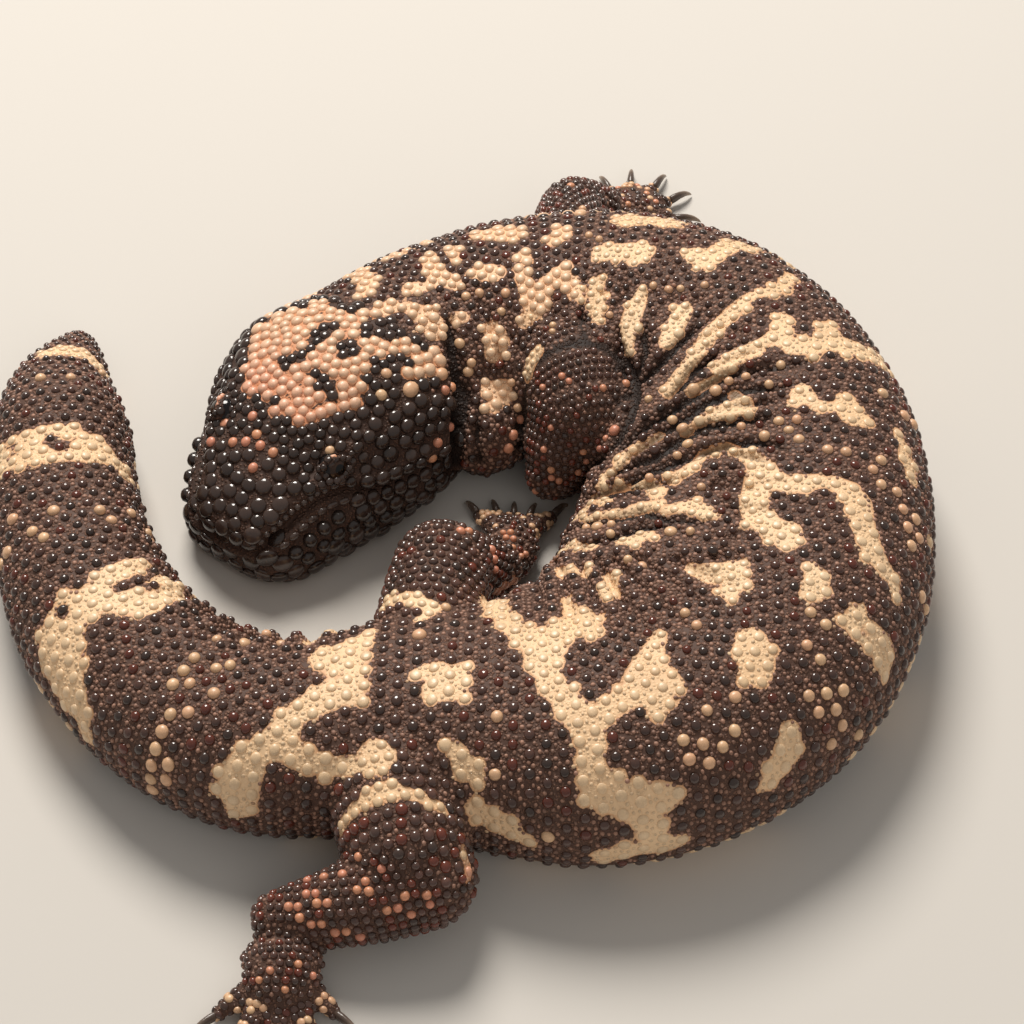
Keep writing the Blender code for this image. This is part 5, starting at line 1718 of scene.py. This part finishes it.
def skin_material(colours):
    """Dark granular hide with crisp, scalloped pale patches that have a tan rim."""
    material, tree, shader = start_material("gila_skin")
    reach = attribute(tree, "pale_reach", (-900, 300))
    tint = attribute(tree, "skin_tint", (-900, 0), "Color")
    grain = place_group(tree, hide_grain_group(), (-900, -300), Granules_per_Metre=1750.0, Crease_Share=0.35)
    ragged = worked_out(tree, "MULTIPLY_ADD", (-650, 300), grain["Height"], 0.35, reach)
    pale = mapped(tree, ragged, (-400, 300), 0.08, 0.26, 0.0, 1.0)
    rim = mapped(tree, ragged, (-400, 60), 0.15, 0.85, 1.0, 0.0)
    hide = mixed_colour(tree, grain["Mottle"], colours["hide_deep"], colours["hide"], (-650, -200))
    # The head's own darker hide, and painted shade down in the creases
    shade = attribute(tree, "hide_shade", (-900, -600))
    hide = mixed_colour(tree, shade, (0.0, 0.0, 0.0), hide, (-400, -200))
    drift = place_group(tree, colour_drift_group(), (-400, -450), Slow_Drift=0.08, Flecks=0.14,
                        Colour=tint, Deep_Colour=(*colours["rim"], 1.0))
    rim_mask = worked_out(tree, "MULTIPLY", (-150, 60), rim, 0.6)
    light = mixed_colour(tree, rim_mask, drift["Colour"], colours["rim"], (50, 60))
    set_input(tree, shader["Base Color"], mixed_colour(tree, pale, hide, light, (300, 200)))
    set_input(tree, shader["Roughness"], mapped(tree, pale, (300, -60), 0.0, 1.0, 0.62, 0.50, "LINEAR"))
    shader["Specular IOR Level"].default_value = 0.28
    flatter = mapped(tree, pale, (300, -300), 0.0, 1.0, 1.0, 0.35, "LINEAR")
    height = worked_out(tree, "MULTIPLY", (480, -300), grain["Height"], flatter)
    add_bump(tree, shader, height, (650, -250), 1.0, 0.00045)
    return material


def bead_material():
    """Glossy near-black beads and satin pale ones."""
    material, tree, shader = start_material("gila_beads")
    colour = attribute(tree, "bead_colour", (-900, 200), "Color")
    satin = attribute(tree, "bead_satin", (-900, -100))
    grain = place_group(tree, hide_grain_group(), (-900, -300), Granules_per_Metre=3200.0,
                        Creases_per_Metre=1500.0, Crease_Share=0.75)
    deeper = mixed_colour(tree, grain["Mottle"], (0.0, 0.0, 0.0), colour, (-600, 0))
    drift = place_group(tree, colour_drift_group(), (-300, 200), Slow_Drift=0.1, Flecks=0.28,
                        Colour=colour, Deep_Colour=deeper)
    set_input(tree, shader["Base Color"], drift["Colour"])
    gloss = mapped(tree, satin, (-300, -100), 0.0, 2.0, 0.15, 0.62, "LINEAR")
    worn = worked_out(tree, "MULTIPLY_ADD", (0, -100), grain["Mottle"], 0.12, gloss)
    set_input(tree, shader["Roughness"], worn)
    shader["Specular IOR Level"].default_value = 0.68
    add_bump(tree, shader, grain["Height"], (500, -250), 0.35, 0.00008)
    return material


def eye_material(colours):
    """Near-black eye with a dark brown iris under a wet surface."""
    material, tree, shader = start_material("gila_eye")
    spread = attribute(tree, "iris_spread", (-900, 100))
    place = add_node(tree, "TexCoord", (-1150, -200)).outputs["Object"]
    fibres = add_node(tree, "TexNoise", (-900, -200), {"Vector": place, "Scale": 2400.0, "Detail": 4.0})
    fibres = fibres.outputs["Fac"]
    iris = mixed_colour(tree, fibres, colours["iris_deep"], colours["iris"], (-600, -100))
    pupil = mapped(tree, spread, (-600, 200), 0.30, 0.36, 0.0, 1.0)
    outer = mapped(tree, spread, (-600, 450), 0.62, 0.74, 0.0, 1.0)
    inner = mixed_colour(tree, pupil, (0.002, 0.002, 0.002), iris, (-300, 100))
    set_input(tree, shader["Base Color"], mixed_colour(tree, outer, inner, (0.006, 0.004, 0.004), (0, 100)))
    set_input(tree, shader["Roughness"], mapped(tree, fibres, (0, -200), 0.0, 1.0, 0.06, 0.12, "LINEAR"))
    for name, value in (("Specular IOR Level", 0.3), ("Coat Weight", 0.25), ("Coat Roughness", 0.03)):
        shader[name].default_value = value
    return material


def claw_material(colours):
    """Horn: dark at the root, paler and worn towards the point."""
    material, tree, shader = start_material("gila_claw")
    run = attribute(tree, "claw_run", (-900, 200))
    grain = place_group(tree, hide_grain_group(), (-900, -200), Granules_per_Metre=900.0,
                        Creases_per_Metre=2600.0, Crease_Share=0.9)
    tip = mapped(tree, run, (-600, 200), 0.1, 0.95, 0.0, 1.0)
    horn = mixed_colour(tree, tip, colours["claw_root"], colours["claw_tip"], (-350, 150))
    drift = place_group(tree, colour_drift_group(), (-60, 100), Slow_Drift=0.2, Flecks=0.4,
                        Colour=horn, Deep_Colour=(*colours["claw_root"], 1.0))
    set_input(tree, shader["Base Color"], drift["Colour"])
    roughness = mapped(tree, grain["Mottle"], (200, -60), 0.0, 1.0, 0.26, 0.46, "LINEAR")
    set_input(tree, shader["Roughness"], roughness)
    add_bump(tree, shader, grain["Height"], (500, -250), 0.3, 0.0001)
    return material


def floor_material(colour):
    material, tree, shader = start_material("studio_floor")
    grain = add_node(tree, "TexNoise", (-600, 0), {"Scale": 60.0, "Detail": 3.0}).outputs["Fac"]
    tone = mixed_colour(tree, grain, colour, [c * 0.97 for c in colour], (-300, 0))
    set_input(tree, shader["Base Color"], tone)
    shader["Roughness"].default_value = 0.85
    return material


# ---------------------------------------------------------------------------- settings
class GilaShapeSettings(bpy.types.PropertyGroup):
    skin_mesh_size: bpy.props.FloatProperty(
        name="Skin Mesh Size", description="Side of the skin's even faces",
        default=0.00114, min=0.0008, max=0.003, unit="LENGTH", precision=5)
    coat_depth: bpy.props.FloatProperty(
        name="Coat Depth", description="Depth of the beads over the skin of the body",
        default=0.00075, min=0.0003, max=0.0015, unit="LENGTH", precision=5)
    fold_depth: bpy.props.FloatProperty(
        name="Fold Depth", description="Depth of the folds on the inside of the curl",
        default=0.0021, min=0.0, max=0.003, unit="LENGTH", precision=5)
    bead_height: bpy.props.FloatProperty(
        name="Bead Height", description="How far the beads stand out, over their usual height",
        default=1.0, min=0.5, max=1.5, subtype="FACTOR")


class GilaColourSettings(bpy.types.PropertyGroup):
    hide: bpy.props.FloatVectorProperty(
        name="Dark Hide", description="Granular skin between the dark beads",
        subtype="COLOR", default=(0.360, 0.188, 0.126))
    hide_deep: bpy.props.FloatVectorProperty(
        name="Hide Creases", description="Dark hide in its creases",
        subtype="COLOR", default=(0.085, 0.045, 0.032))
    rim: bpy.props.FloatVectorProperty(
        name="Patch Rim", description="Tan rim of the pale patches",
        subtype="COLOR", default=(0.50, 0.20, 0.075))
    iris: bpy.props.FloatVectorProperty(
        name="Iris", description="Brown of the iris", subtype="COLOR", default=(0.050, 0.022, 0.010))
    iris_deep: bpy.props.FloatVectorProperty(
        name="Deep Iris", description="Dark fibres of the iris",
        subtype="COLOR", default=(0.012, 0.006, 0.004))
    claw_root: bpy.props.FloatVectorProperty(
        name="Claw Root", description="Horn at the root of a claw",
        subtype="COLOR", default=(0.085, 0.058, 0.045))
    claw_tip: bpy.props.FloatVectorProperty(
        name="Claw Tip", description="Horn at the point of a claw",
        subtype="COLOR", default=(0.40, 0.30, 0.22))


class GilaStageSettings(bpy.types.PropertyGroup):
    floor: bpy.props.FloatVectorProperty(
        name="Floor", description="Colour of the studio floor", subtype="COLOR", default=(0.60, 0.57, 0.53))
    key_power: bpy.props.FloatProperty(
        name="Key Light", description="Power of the large light behind the model",
        default=19.0, min=0.0, unit="POWER")
    fill_power: bpy.props.FloatProperty(
        name="Fill Light", description="Power of the soft light by the camera",
        default=2.2, min=0.0, unit="POWER")
    surround: bpy.props.FloatProperty(
        name="Surround", description="Brightness of the even surround", default=0.30, min=0.0)


def settings_colours(scene):
    return {name: tuple(getattr(scene.gila_colours, name)) for name in GilaColourSettings.__annotations__}


# ---------------------------------------------------------------------------- pieces
MODEL = {}                 # what one operator makes and a later one needs
COAT_PIECES = ("head", "neck", "trunk_front", "trunk_middle", "trunk_rear", "tail_base", "tail", *LEGS)
COAT_ENDS = (42.0, 88.0, 138.0, 190.0, 250.0)  # distances along the crest where those of the body end
# Pale skin round a pale bead on the head, where its patch is drawn, and elsewhere, over the spacing.
HEAD_DISC, SEEN_DISC, HIDDEN_DISC = 0.78, 0.46, 0.66
DARK_CLEARANCE = 0.33      # dark skin round a dark bead, over its spacing
TINT_REACH = 6.0           # pale beads nearer than this give the skin their colour
BEAD_CLEAR, GRANULE_CLEAR = -0.8, -0.35  # how near to a fold's line beads and granules may lie
BEAD_REACH = 2.4           # a laid bead may move this far to the skin
ROW_GAP, FILL_GAP = 0.86, 0.84  # least gaps between beads of the rows and between all, over the spacing
GRANULE_FLOOR, GRANULE_FACING = 3.6, -0.35  # lowest granules, and how far down the skin may face there
GRANULE_OVERLAP = 0.85     # share of a granule's radius that stays clear of the beads
# Least and greatest chance factors of beads, and of granules with their share on pale skin.
RADIUS_CHANCE, HEIGHT_CHANCE = (0.93, 1.07), (0.88, 1.12)
HEAD_CHANCE, STRETCH_CHANCE = (0.85, 1.15), (0.95, 1.15)
GRANULE_CHANCES = ((0.8, 1.15), (0.7, 1.2), (0.8, 1.3), (0.88, 1.0))  # radius, height, stretch, pale colour
GRANULE_DARKS, GRANULE_PALE_RISE = (0.45, 0.75), 0.45
GRANULE_EDGES = ((0.05, 0.4), (0.1, 0.8), 0.5)  # where they turn pale, where the tan rim fades, its share
UNDRAWN = -9.0             # the head's skin takes its colour from its beads only
CLAW_SIDES, CLAW_STEPS = 14, 12
CLAW_START, CLAW_FLOOR = (0.95, 0.3), 0.02  # from the toe's last ring: share of its radius, distance; height
# Shares of the claw's length, with its middle's height there, and then with its radius.
CLAW_HEIGHTS = ((-0.28, 0.0, 0.3, 0.6, 0.85, 1.0), (1.75, 1.9, 1.95, 1.7, 1.1, 0.45))
CLAW_TAPER = ((-0.28, 0.0, CLAW_BEND, 0.9, 1.0), (0.95, 0.98, 0.66, 0.3, 0.1))
CLAW_NARROWING = 0.72      # a claw's width over its depth
EYE_SIDES, EYE_RINGS = 40, 24
# Place, width and colour of each light, and the surround's colour.
KEY_LIGHT = ((-0.18, 0.75, 0.95), 0.55, (1.0, 0.95, 0.88))
FILL_LIGHT = ((0.35, -0.9, 0.8), 0.9, (1.0, 0.97, 0.93))
SURROUND_COLOUR = (1.0, 0.97, 0.935, 1.0)
FLOOR_REACH = 6.0


def lay_beads(spine, outline, surface, marks):
    """Place, spacing and plate style of every bead."""
    depth = MODEL["depth"]
    groups = ((*body_places(spine, depth), PLAIN), (*limb_places(depth), PLAIN), head_places(surface, marks))
    snapped = []
    for number, (places, spacings, orders, styles) in enumerate(groups):
        at, _, gap = surface.snap(places)
        part = with_arm_bulge(MODEL["plain"], at, outline.nearest(at))[:, 0]
        keep = (gap < BEAD_REACH) & (part == BODY, part >= LIMB, part == HEAD)[number]
        free = (orders > FIXED_ORDER) & (number == 2)
        styles = np.broadcast_to(styles, (len(at),))
        snapped.append([value[keep] for value in (at, spacings, orders, free, styles)])
    at, spacings, orders, free, styles = (np.concatenate(parts) for parts in zip(*snapped))
    kept = thin_out(at, spacings, orders, ROW_GAP)
    folds = lay_dabs(MODEL["plain"], FOLDS.values())
    kept = kept[(cover(at[kept], folds) < BEAD_CLEAR) | (styles[kept] != PLAIN)]
    styled = MODEL["styled"]
    extra = np.flatnonzero((styled[:, 0] != HEAD) & (MODEL["field"] < BEAD_CLEAR))[::3]
    part, run, _ = styled[extra].T
    limb_table = np.array([LIMB_SPACINGS[name] for name in LEGS])
    on_limb = limb_table[tuple(np.clip(k, 0, 3).astype(int) for k in np.divmod(part - LIMB, 10))]
    at = np.concatenate((at[kept], surface.points[extra]))
    spacings = np.concatenate((spacings[kept], np.where(part >= LIMB, on_limb, bead_spacing(run))))
    chance = np.random.default_rng(SEED + 2).random(len(extra))
    order = np.concatenate((np.arange(len(kept)) * 1e-6, 1.0 + chance))
    free = np.concatenate((free[kept], np.ones(len(extra), bool)))
    styles = np.concatenate((styles[kept], np.full(len(extra), PLAIN)))
    kept = thin_out(at, spacings, order, FILL_GAP)
    return spread_evenly(surface, at[kept], spacings[kept], free[kept]), spacings[kept], styles[kept]


def run_directions(spine, marks):
    """Direction in which beads may be longer: along the head, and across the body."""
    _, _, side, _ = spine.at(marks[:, 1])
    side = np.where((marks[:, 0] == HEAD)[:, None], head_frame()[1], side)
    return np.concatenate((side, np.zeros((len(side), 1))), 1)


def size_beads(beads, spacings, styles, marks, kinds, orange, regions, height):
    """Give every bead its radius, height and stretch, and the lip plates their colour."""
    places = beads["place"]
    random = np.random.default_rng(SEED + 3)
    sizes = np.array([BEAD_SHAPES[region][kind] for region, kind in zip(regions, kinds)])
    radius = spacings * sizes[:, 0] * random.uniform(*RADIUS_CHANCE, len(places))
    tall = sizes[:, 1] * random.uniform(*HEIGHT_CHANCE, len(places)) * height
    belly = (places[:, 2] < BELLY_LEVEL) & (beads["normal"][:, 2] < BELLY_FACING)
    radius[belly] = spacings[belly] * BELLY_SCALE[0]
    tall[belly] = BELLY_SCALE[1]
    head = marks[:, 0] == HEAD
    on_head = np.flatnonzero(head & (styles == PLAIN))
    radius[on_head] = touching_radius(places[on_head], spacings[on_head]) * HEAD_TOUCH
    rise = np.interp(head_coordinates(places[on_head])[0], *HEAD_RISE)
    tall[on_head] = radius[on_head] * rise * random.uniform(*HEAD_CHANCE, len(on_head))
    radius[head & (kinds == LONE) & orange] = LONE_SNOUT_RADIUS
    stretch = np.sqrt(random.uniform(*STRETCH_CHANCE, len(places)))
    tall = np.minimum(tall, LARGEST_RISE * radius)
    for style, (share, rise, longer, colour) in PLATE_STYLES.items():
        plates = (styles == style) & (kinds == DARK)
        radius[plates] = spacings[plates] * share
        tall[plates] = rise * height
        stretch[plates] *= math.sqrt(longer)
        beads["colour"][plates] = colour
    beads.update(radius=radius, height=tall, stretch=stretch)


def coat_indices(marks):
    """Index into COAT_PIECES for each bead."""
    part, run = marks[:, 0], marks[:, 1]
    body = 1 + np.searchsorted(COAT_ENDS, run)
    limb = 7 + np.clip((part - LIMB) // 10, 0, 3).astype(int)
    return np.where(part == HEAD, 0, np.where(part >= LIMB, limb, body))


def skin_colouring(points, reach, beads, kinds, discs, bare):
    """How far each skin point lies inside the pale patches, and the patches' colour there."""
    pale = np.flatnonzero(kinds == PATCH)
    dark = np.flatnonzero(kinds == DARK)
    pale_tree, dark_tree = (place_tree(beads["place"][chosen]) for chosen in (pale, dark))
    tint = np.tile(CREAM, (len(points), 1))
    disc = discs[pale].tolist()
    bare = bare[dark].tolist()
    for index, point in enumerate(points.tolist()):
        near = pale_tree.find_n(point, 3)
        _, other, gap = dark_tree.find(point)
        reach[index] = min(max(reach[index], *(disc[k] - away for _, k, away in near)), gap - bare[other])
        if near[0][2] < TINT_REACH:
            shares = np.array([1.0 / (away + 0.4) for _, _, away in near])
            tint[index] = shares @ beads["colour"][pale[[k for _, k, _ in near]]] / shares.sum()
    return reach, tint


def lay_granules(spine, surface, marks, beads, reach, tint, hide_shade, shades):
    """Small granules in the gaps between the beads, coloured like the skin under them."""
    tree = place_tree(beads["place"])
    toes = (marks[:, 0] >= LIMB) & ((marks[:, 0] - LIMB) % 10 > 2)
    able = (surface.points[:, 2] > GRANULE_FLOOR) & ~toes & (surface.normals[:, 2] > GRANULE_FACING)
    centres = surface.triangles[able[surface.triangles].all(axis=1)]
    source = np.concatenate((np.flatnonzero(able), centres[:, 0]))
    places = np.concatenate((surface.points[able], surface.points[centres].mean(axis=1)))
    radius = (beads["radius"] + GRANULE_SIZE[0] * GRANULE_OVERLAP).tolist()
    found = [tree.find(place) for place in places.tolist()]
    clear = np.array([gap > radius[bead] for _, bead, gap in found])
    clear &= (marks[source, 0] != HEAD) & (MODEL["field"][source] < GRANULE_CLEAR)
    places, source = places[clear], source[clear]
    random = np.random.default_rng(SEED + 4)
    kept = thin_out(places, np.full(len(places), GRANULE_SPACING), random.random(len(places)), 1.0)
    places, chosen = places[kept], source[kept]
    count = len(chosen)
    sizes, rises, stretches, lights = GRANULE_CHANCES
    pale_edge, rim_edge, rim_share = GRANULE_EDGES
    pale = smooth_step(*pale_edge, reach[chosen])[:, None]
    rim = (1.0 - smooth_step(*rim_edge, reach[chosen]))[:, None] * rim_share
    depth = GRANULE_DARKS[0] + GRANULE_DARKS[1] * random.random((count, 1))
    # Granules take the painted shade of the creases, through the hide's shade and the pale tint
    dark = blend(shades["hide_deep"], shades["hide"], depth) * hide_shade[chosen, None]
    light = blend(tint[chosen], shades["rim"], rim) * random.uniform(*lights, (count, 1))
    return {
        "place": places, "normal": surface.normals[chosen], "along": run_directions(spine, marks[chosen]),
        "radius": GRANULE_SIZE[0] * random.uniform(*sizes, count),
        "height": GRANULE_SIZE[1] * random.uniform(*rises, count) * (1.0 - GRANULE_PALE_RISE * pale[:, 0]),
        "stretch": np.sqrt(random.uniform(*stretches, count)), "colour": blend(dark, light, pale),
        "satin": np.full(count, GRANULE_SATIN), "uv": unwrap(marks[chosen], spine.length),
    }, marks[chosen]


class GILA_OT_skin(bpy.types.Operator):
    """Make the one skin that covers head, body, tail and legs"""
    bl_idname = "gila.skin"
    bl_label = "Skin"

    def execute(self, context):
        shape = context.scene.gila_shape
        spine = Spine()
        depth = shape.coat_depth / MM
        outline = build_outline(spine, depth)
        points, triangles = skin_shape(spine, outline, shape.skin_mesh_size / MM)
        marks = outline.nearest(points)
        plain = Surface(points, triangles)
        field = cover(points, lay_dabs(plain, FOLDS.values()))
        styled = with_arm_bulge(plain, points, marks)
        relief = body_relief(spine, points, styled, field, shape.fold_depth / MM)
        points = points + plain.normals * relief[:, None]
        on_head = (marks[:, 0] == HEAD)[:, None]
        points = points + plain.normals * (head_relief(points)[:, None] * on_head)
        points = np.where(on_head, shape_eyelids(points), points)
        points[:, 2] = np.maximum(points[:, 2], LOWEST_SKIN)
        MODEL.update(spine=spine, outline=outline, marks=marks, styled=styled, depth=depth, plain=plain,
                     field=field, surface=Surface(points, triangles))
        return {"FINISHED"}


class GILA_OT_coat(bpy.types.Operator):
    """Lay the beads, plates and scutes over the skin and colour both"""
    bl_idname = "gila.coat"
    bl_label = "Beads and Markings"

    def execute(self, context):
        if "surface" not in MODEL:
            raise RuntimeError("Make the skin first")
        spine, outline, surface, marks = (MODEL[key] for key in ("spine", "outline", "surface", "marks"))
        shades = settings_colours(context.scene)
        places, spacings, styles = lay_beads(spine, outline, surface, marks)
        places, normals, _ = surface.snap(places)
        bead_marks = outline.nearest(places)
        bead_styles = with_arm_bulge(MODEL["plain"], places, bead_marks)
        kinds, orange, seen = colour_beads(surface, places, normals, bead_styles)
        regions = region_names(bead_styles)
        beads = {
            "place": places, "normal": normals, "along": run_directions(spine, bead_marks),
            "colour": bead_colours(places, bead_styles, kinds, orange, regions),
            "satin": (kinds != DARK).astype(float), "uv": unwrap(bead_marks, spine.length),
        }
        height = context.scene.gila_shape.bead_height
        size_beads(beads, spacings, styles, bead_marks, kinds, orange, regions, height)
        head = marks[:, 0] == HEAD
        field = np.where(head, UNDRAWN, pale_field(surface, surface.points))
        discs = np.where(bead_marks[:, 0] == HEAD, HEAD_DISC, np.where(seen, SEEN_DISC, HIDDEN_DISC))
        reach, tint = skin_colouring(
            surface.points, field, beads, kinds, discs * spacings, DARK_CLEARANCE * spacings)
        # Painted shade: the skin's pale tint, its hide and its granules are darker down in the creases; the
        # head's darker hide is its own tone
        painted_fold_shade = 1.0 - PAINTED_CREASE_SHADE * crease_amount(MODEL["field"])
        tint *= painted_fold_shade[:, None]
        # Between the head's pale beads the skin is darker: partly its own tone, partly painted shade
        tint[head] *= CROWN_GAP_TONE_AND_SHADE
        hide_shade = painted_fold_shade * np.where(head, HEAD_SHADE, 1.0)
        granules, granule_marks = lay_granules(spine, surface, marks, beads, reach, tint, hide_shade, shades)
        material = bead_material()
        for number, name in enumerate(COAT_PIECES):
            chosen, small = (
                {key: value[coat_indices(group_marks) == number] for key, value in group.items()}
                for group, group_marks in ((beads, bead_marks), (granules, granule_marks)))
            place_object("coat_" + name, bead_mesh("coat_" + name, chosen, small), material)
        mesh = mesh_from_triangles("gila_skin", surface.points, surface.triangles)
        for name, values in (("pale_reach", reach), ("skin_tint", tint), ("hide_shade", hide_shade)):
            point_attribute(mesh, name, values)
        skin = place_object("gila_skin", mesh, skin_material(shades))
        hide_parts(*(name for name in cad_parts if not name.startswith(("claw_", "eye_"))))
        return {"FINISHED"}


def ring_faces(rings, sides):
    """Triangles over rings of points, closed at both ends by the two points that follow them."""
    index = np.arange(rings * sides).reshape(rings, sides)
    turned = np.roll(index, -1, axis=1)
    start, end = (np.full(sides, rings * sides + k) for k in range(2))
    return np.concatenate((
        np.stack((index[:-1], turned[:-1], turned[1:]), -1).reshape(-1, 3),
        np.stack((index[:-1], turned[1:], index[1:]), -1).reshape(-1, 3),
        np.stack((turned[0], index[0], start), -1), np.stack((index[-1], turned[-1], end), -1)))


class GILA_OT_eyes(bpy.types.Operator):
    """Make both eyeballs, each with an iris and a round pupil"""
    bl_idname = "gila.eyes"
    bl_label = "Eyes"

    def execute(self, context):
        material = eye_material(settings_colours(context.scene))
        rings = np.linspace(0.0, math.pi, EYE_RINGS + 1)[1:-1, None]
        turns = 2.0 * math.pi * np.arange(EYE_SIDES) / EYE_SIDES
        local = np.stack(np.broadcast_arrays(
            np.sin(rings) * np.cos(turns), np.sin(rings) * np.sin(turns), np.cos(rings)), -1).reshape(-1, 3)
        local = np.concatenate((local, ((0.0, 0.0, 1.0), (0.0, 0.0, -1.0))))
        for side_name, side in (("left", 1.0), ("right", -1.0)):
            centre, outward, forward, upward = eye_frame(side)
            points = centre + EYE_RADIUS * (local @ np.stack((forward, upward, outward)))
            faces = ring_faces(len(rings), EYE_SIDES)[:, ::-1]
            mesh = mesh_from_triangles("eyeball_" + side_name, points, faces)
            point_attribute(mesh, "iris_spread", np.arccos(np.clip(local[:, 2], -1.0, 1.0)))
            eye = place_object(mesh.name, mesh, material)
            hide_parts("eye_" + side_name)
        return {"FINISHED"}


class GILA_OT_claws(bpy.types.Operator):
    """Make the twenty curved claws"""
    bl_idname = "gila.claws"
    bl_label = "Claws"

    def execute(self, context):
        material = claw_material(settings_colours(context.scene))
        turns = 2.0 * math.pi * np.arange(CLAW_SIDES) / CLAW_SIDES
        share = np.linspace(CLAW_HEIGHTS[0][0], 1.0, CLAW_STEPS)
        height = np.interp(share, *CLAW_HEIGHTS)
        radius = CLAW_RADIUS * np.interp(share, *CLAW_TAPER)[:, None, None]
        worn = np.append(np.repeat(np.clip(share, 0.0, 1.0), CLAW_SIDES), (0.0, 1.0))
        for leg_name, leg in LEGS.items():
            for toe, degrees in enumerate(leg["toe_angles"]):
                base = toe_path(leg, toe)[-1]
                angle = math.radians(degrees)
                run = base[3] * CLAW_START[0] + CLAW_START[1] + leg["claw_length"] * share
                plan = [base[0] + math.cos(angle) * run, base[1] + math.sin(angle) * run]
                centre = np.stack((*plan, height), -1)
                across = np.array((-math.sin(angle), math.cos(angle), 0.0))
                up = np.cross(unit(np.gradient(centre, axis=0)), across)
                up = up * np.sign(up[:, 2:3] + 1e-9)
                rings = centre[:, None] + radius * (
                    CLAW_NARROWING * np.cos(turns)[None, :, None] * across
                    + np.sin(turns)[None, :, None] * up[:, None])
                points = np.concatenate((rings.reshape(-1, 3), centre[:1], centre[-1:]))
                points[:, 2] = np.maximum(points[:, 2], CLAW_FLOOR)
                ending = "_%s_%d" % (leg_name, toe + 1)
                mesh = mesh_from_triangles("horn" + ending, points, ring_faces(CLAW_STEPS, CLAW_SIDES))
                point_attribute(mesh, "claw_run", worn)
                claw = place_object(mesh.name, mesh, material)
                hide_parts("claw" + ending)
        return {"FINISHED"}


def aim(thing, place, target):
    """Put a light or the camera at a place, looking at its target."""
    thing.location = place
    thing.rotation_mode = "QUATERNION"
    thing.rotation_quaternion = (Vector(target) - Vector(place)).to_track_quat("-Z", "Y")
    bpy.context.scene.collection.objects.link(thing)
    return thing


def add_area_light(name, settings, power):
    place, width, colour = settings
    light = bpy.data.lights.new(name, "AREA")
    light.shape = "DISK"
    light.size = width
    light.energy = power
    light.color = colour
    return aim(bpy.data.objects.new(name, light), place, (0.0, 0.0, 0.0))


class GILA_OT_stage(bpy.types.Operator):
    """Make the pale floor, the soft lights and the camera"""
    bl_idname = "gila.stage"
    bl_label = "Studio"

    def execute(self, context):
        scene = context.scene
        stage = scene.gila_stage
        bm = bmesh.new()
        bmesh.ops.create_grid(bm, x_segments=2, y_segments=2, size=FLOOR_REACH)
        mesh = bpy.data.meshes.new("studio_floor")
        bm.to_mesh(mesh)
        bm.free()
        mesh.materials.append(floor_material(tuple(stage.floor)))
        floor = bpy.data.objects.new("studio_floor", mesh)
        scene.collection.objects.link(floor)
        add_area_light("key_light", KEY_LIGHT, stage.key_power)
        fill = add_area_light("fill_light", FILL_LIGHT, stage.fill_power)
        fill.visible_glossy = False
        world = bpy.data.worlds.new("studio_surround")
        world.use_nodes = True
        background = world.node_tree.nodes["Background"]
        background.inputs["Color"].default_value = SURROUND_COLOUR
        background.inputs["Strength"].default_value = stage.surround
        scene.world = world
        scene.view_settings.view_transform = "Standard"
        camera = bpy.data.cameras.new("camera")
        camera.sensor_width = SENSOR_WIDTH
        camera.lens = FOCAL_PIXELS / PICTURE_SIDE * SENSOR_WIDTH
        camera.clip_start = 0.01
        camera.clip_end = 20.0
        place = LAYOUT_OFFSET + camera_eye()
        scene.camera = aim(bpy.data.objects.new("camera", camera), place * MM, LAYOUT_OFFSET * MM)
        return {"FINISHED"}


class GILA_PT_panel(bpy.types.Panel):
    bl_idname = "GILA_PT_panel"
    bl_label = "Gila Monster"
    bl_space_type = "VIEW_3D"
    bl_region_type = "UI"
    bl_category = "Gila Monster"

    def draw(self, context):
        for settings in (context.scene.gila_shape, context.scene.gila_colours, context.scene.gila_stage):
            box = self.layout.box()
            for name in settings.__annotations__:
                box.prop(settings, name)
        for operator in OPERATORS:
            self.layout.operator(operator.bl_idname)


OPERATORS = (GILA_OT_skin, GILA_OT_coat, GILA_OT_eyes, GILA_OT_claws, GILA_OT_stage)
SETTINGS = {
    "gila_shape": GilaShapeSettings, "gila_colours": GilaColourSettings, "gila_stage": GilaStageSettings}


def register():
    for item in (*SETTINGS.values(), *OPERATORS, GILA_PT_panel):
        bpy.utils.register_class(item)
    for name, kind in SETTINGS.items():
        setattr(bpy.types.Scene, name, bpy.props.PointerProperty(type=kind))


def unregister():
    for name in SETTINGS:
        delattr(bpy.types.Scene, name)
    for item in (GILA_PT_panel, *reversed(OPERATORS), *SETTINGS.values()):
        bpy.utils.unregister_class(item)


def main():
    register()
    bpy.ops.gila.skin()
    bpy.ops.gila.coat()
    bpy.ops.gila.eyes()
    bpy.ops.gila.claws()
    bpy.ops.gila.stage()
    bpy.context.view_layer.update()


if __name__ == "__main__":
    main()
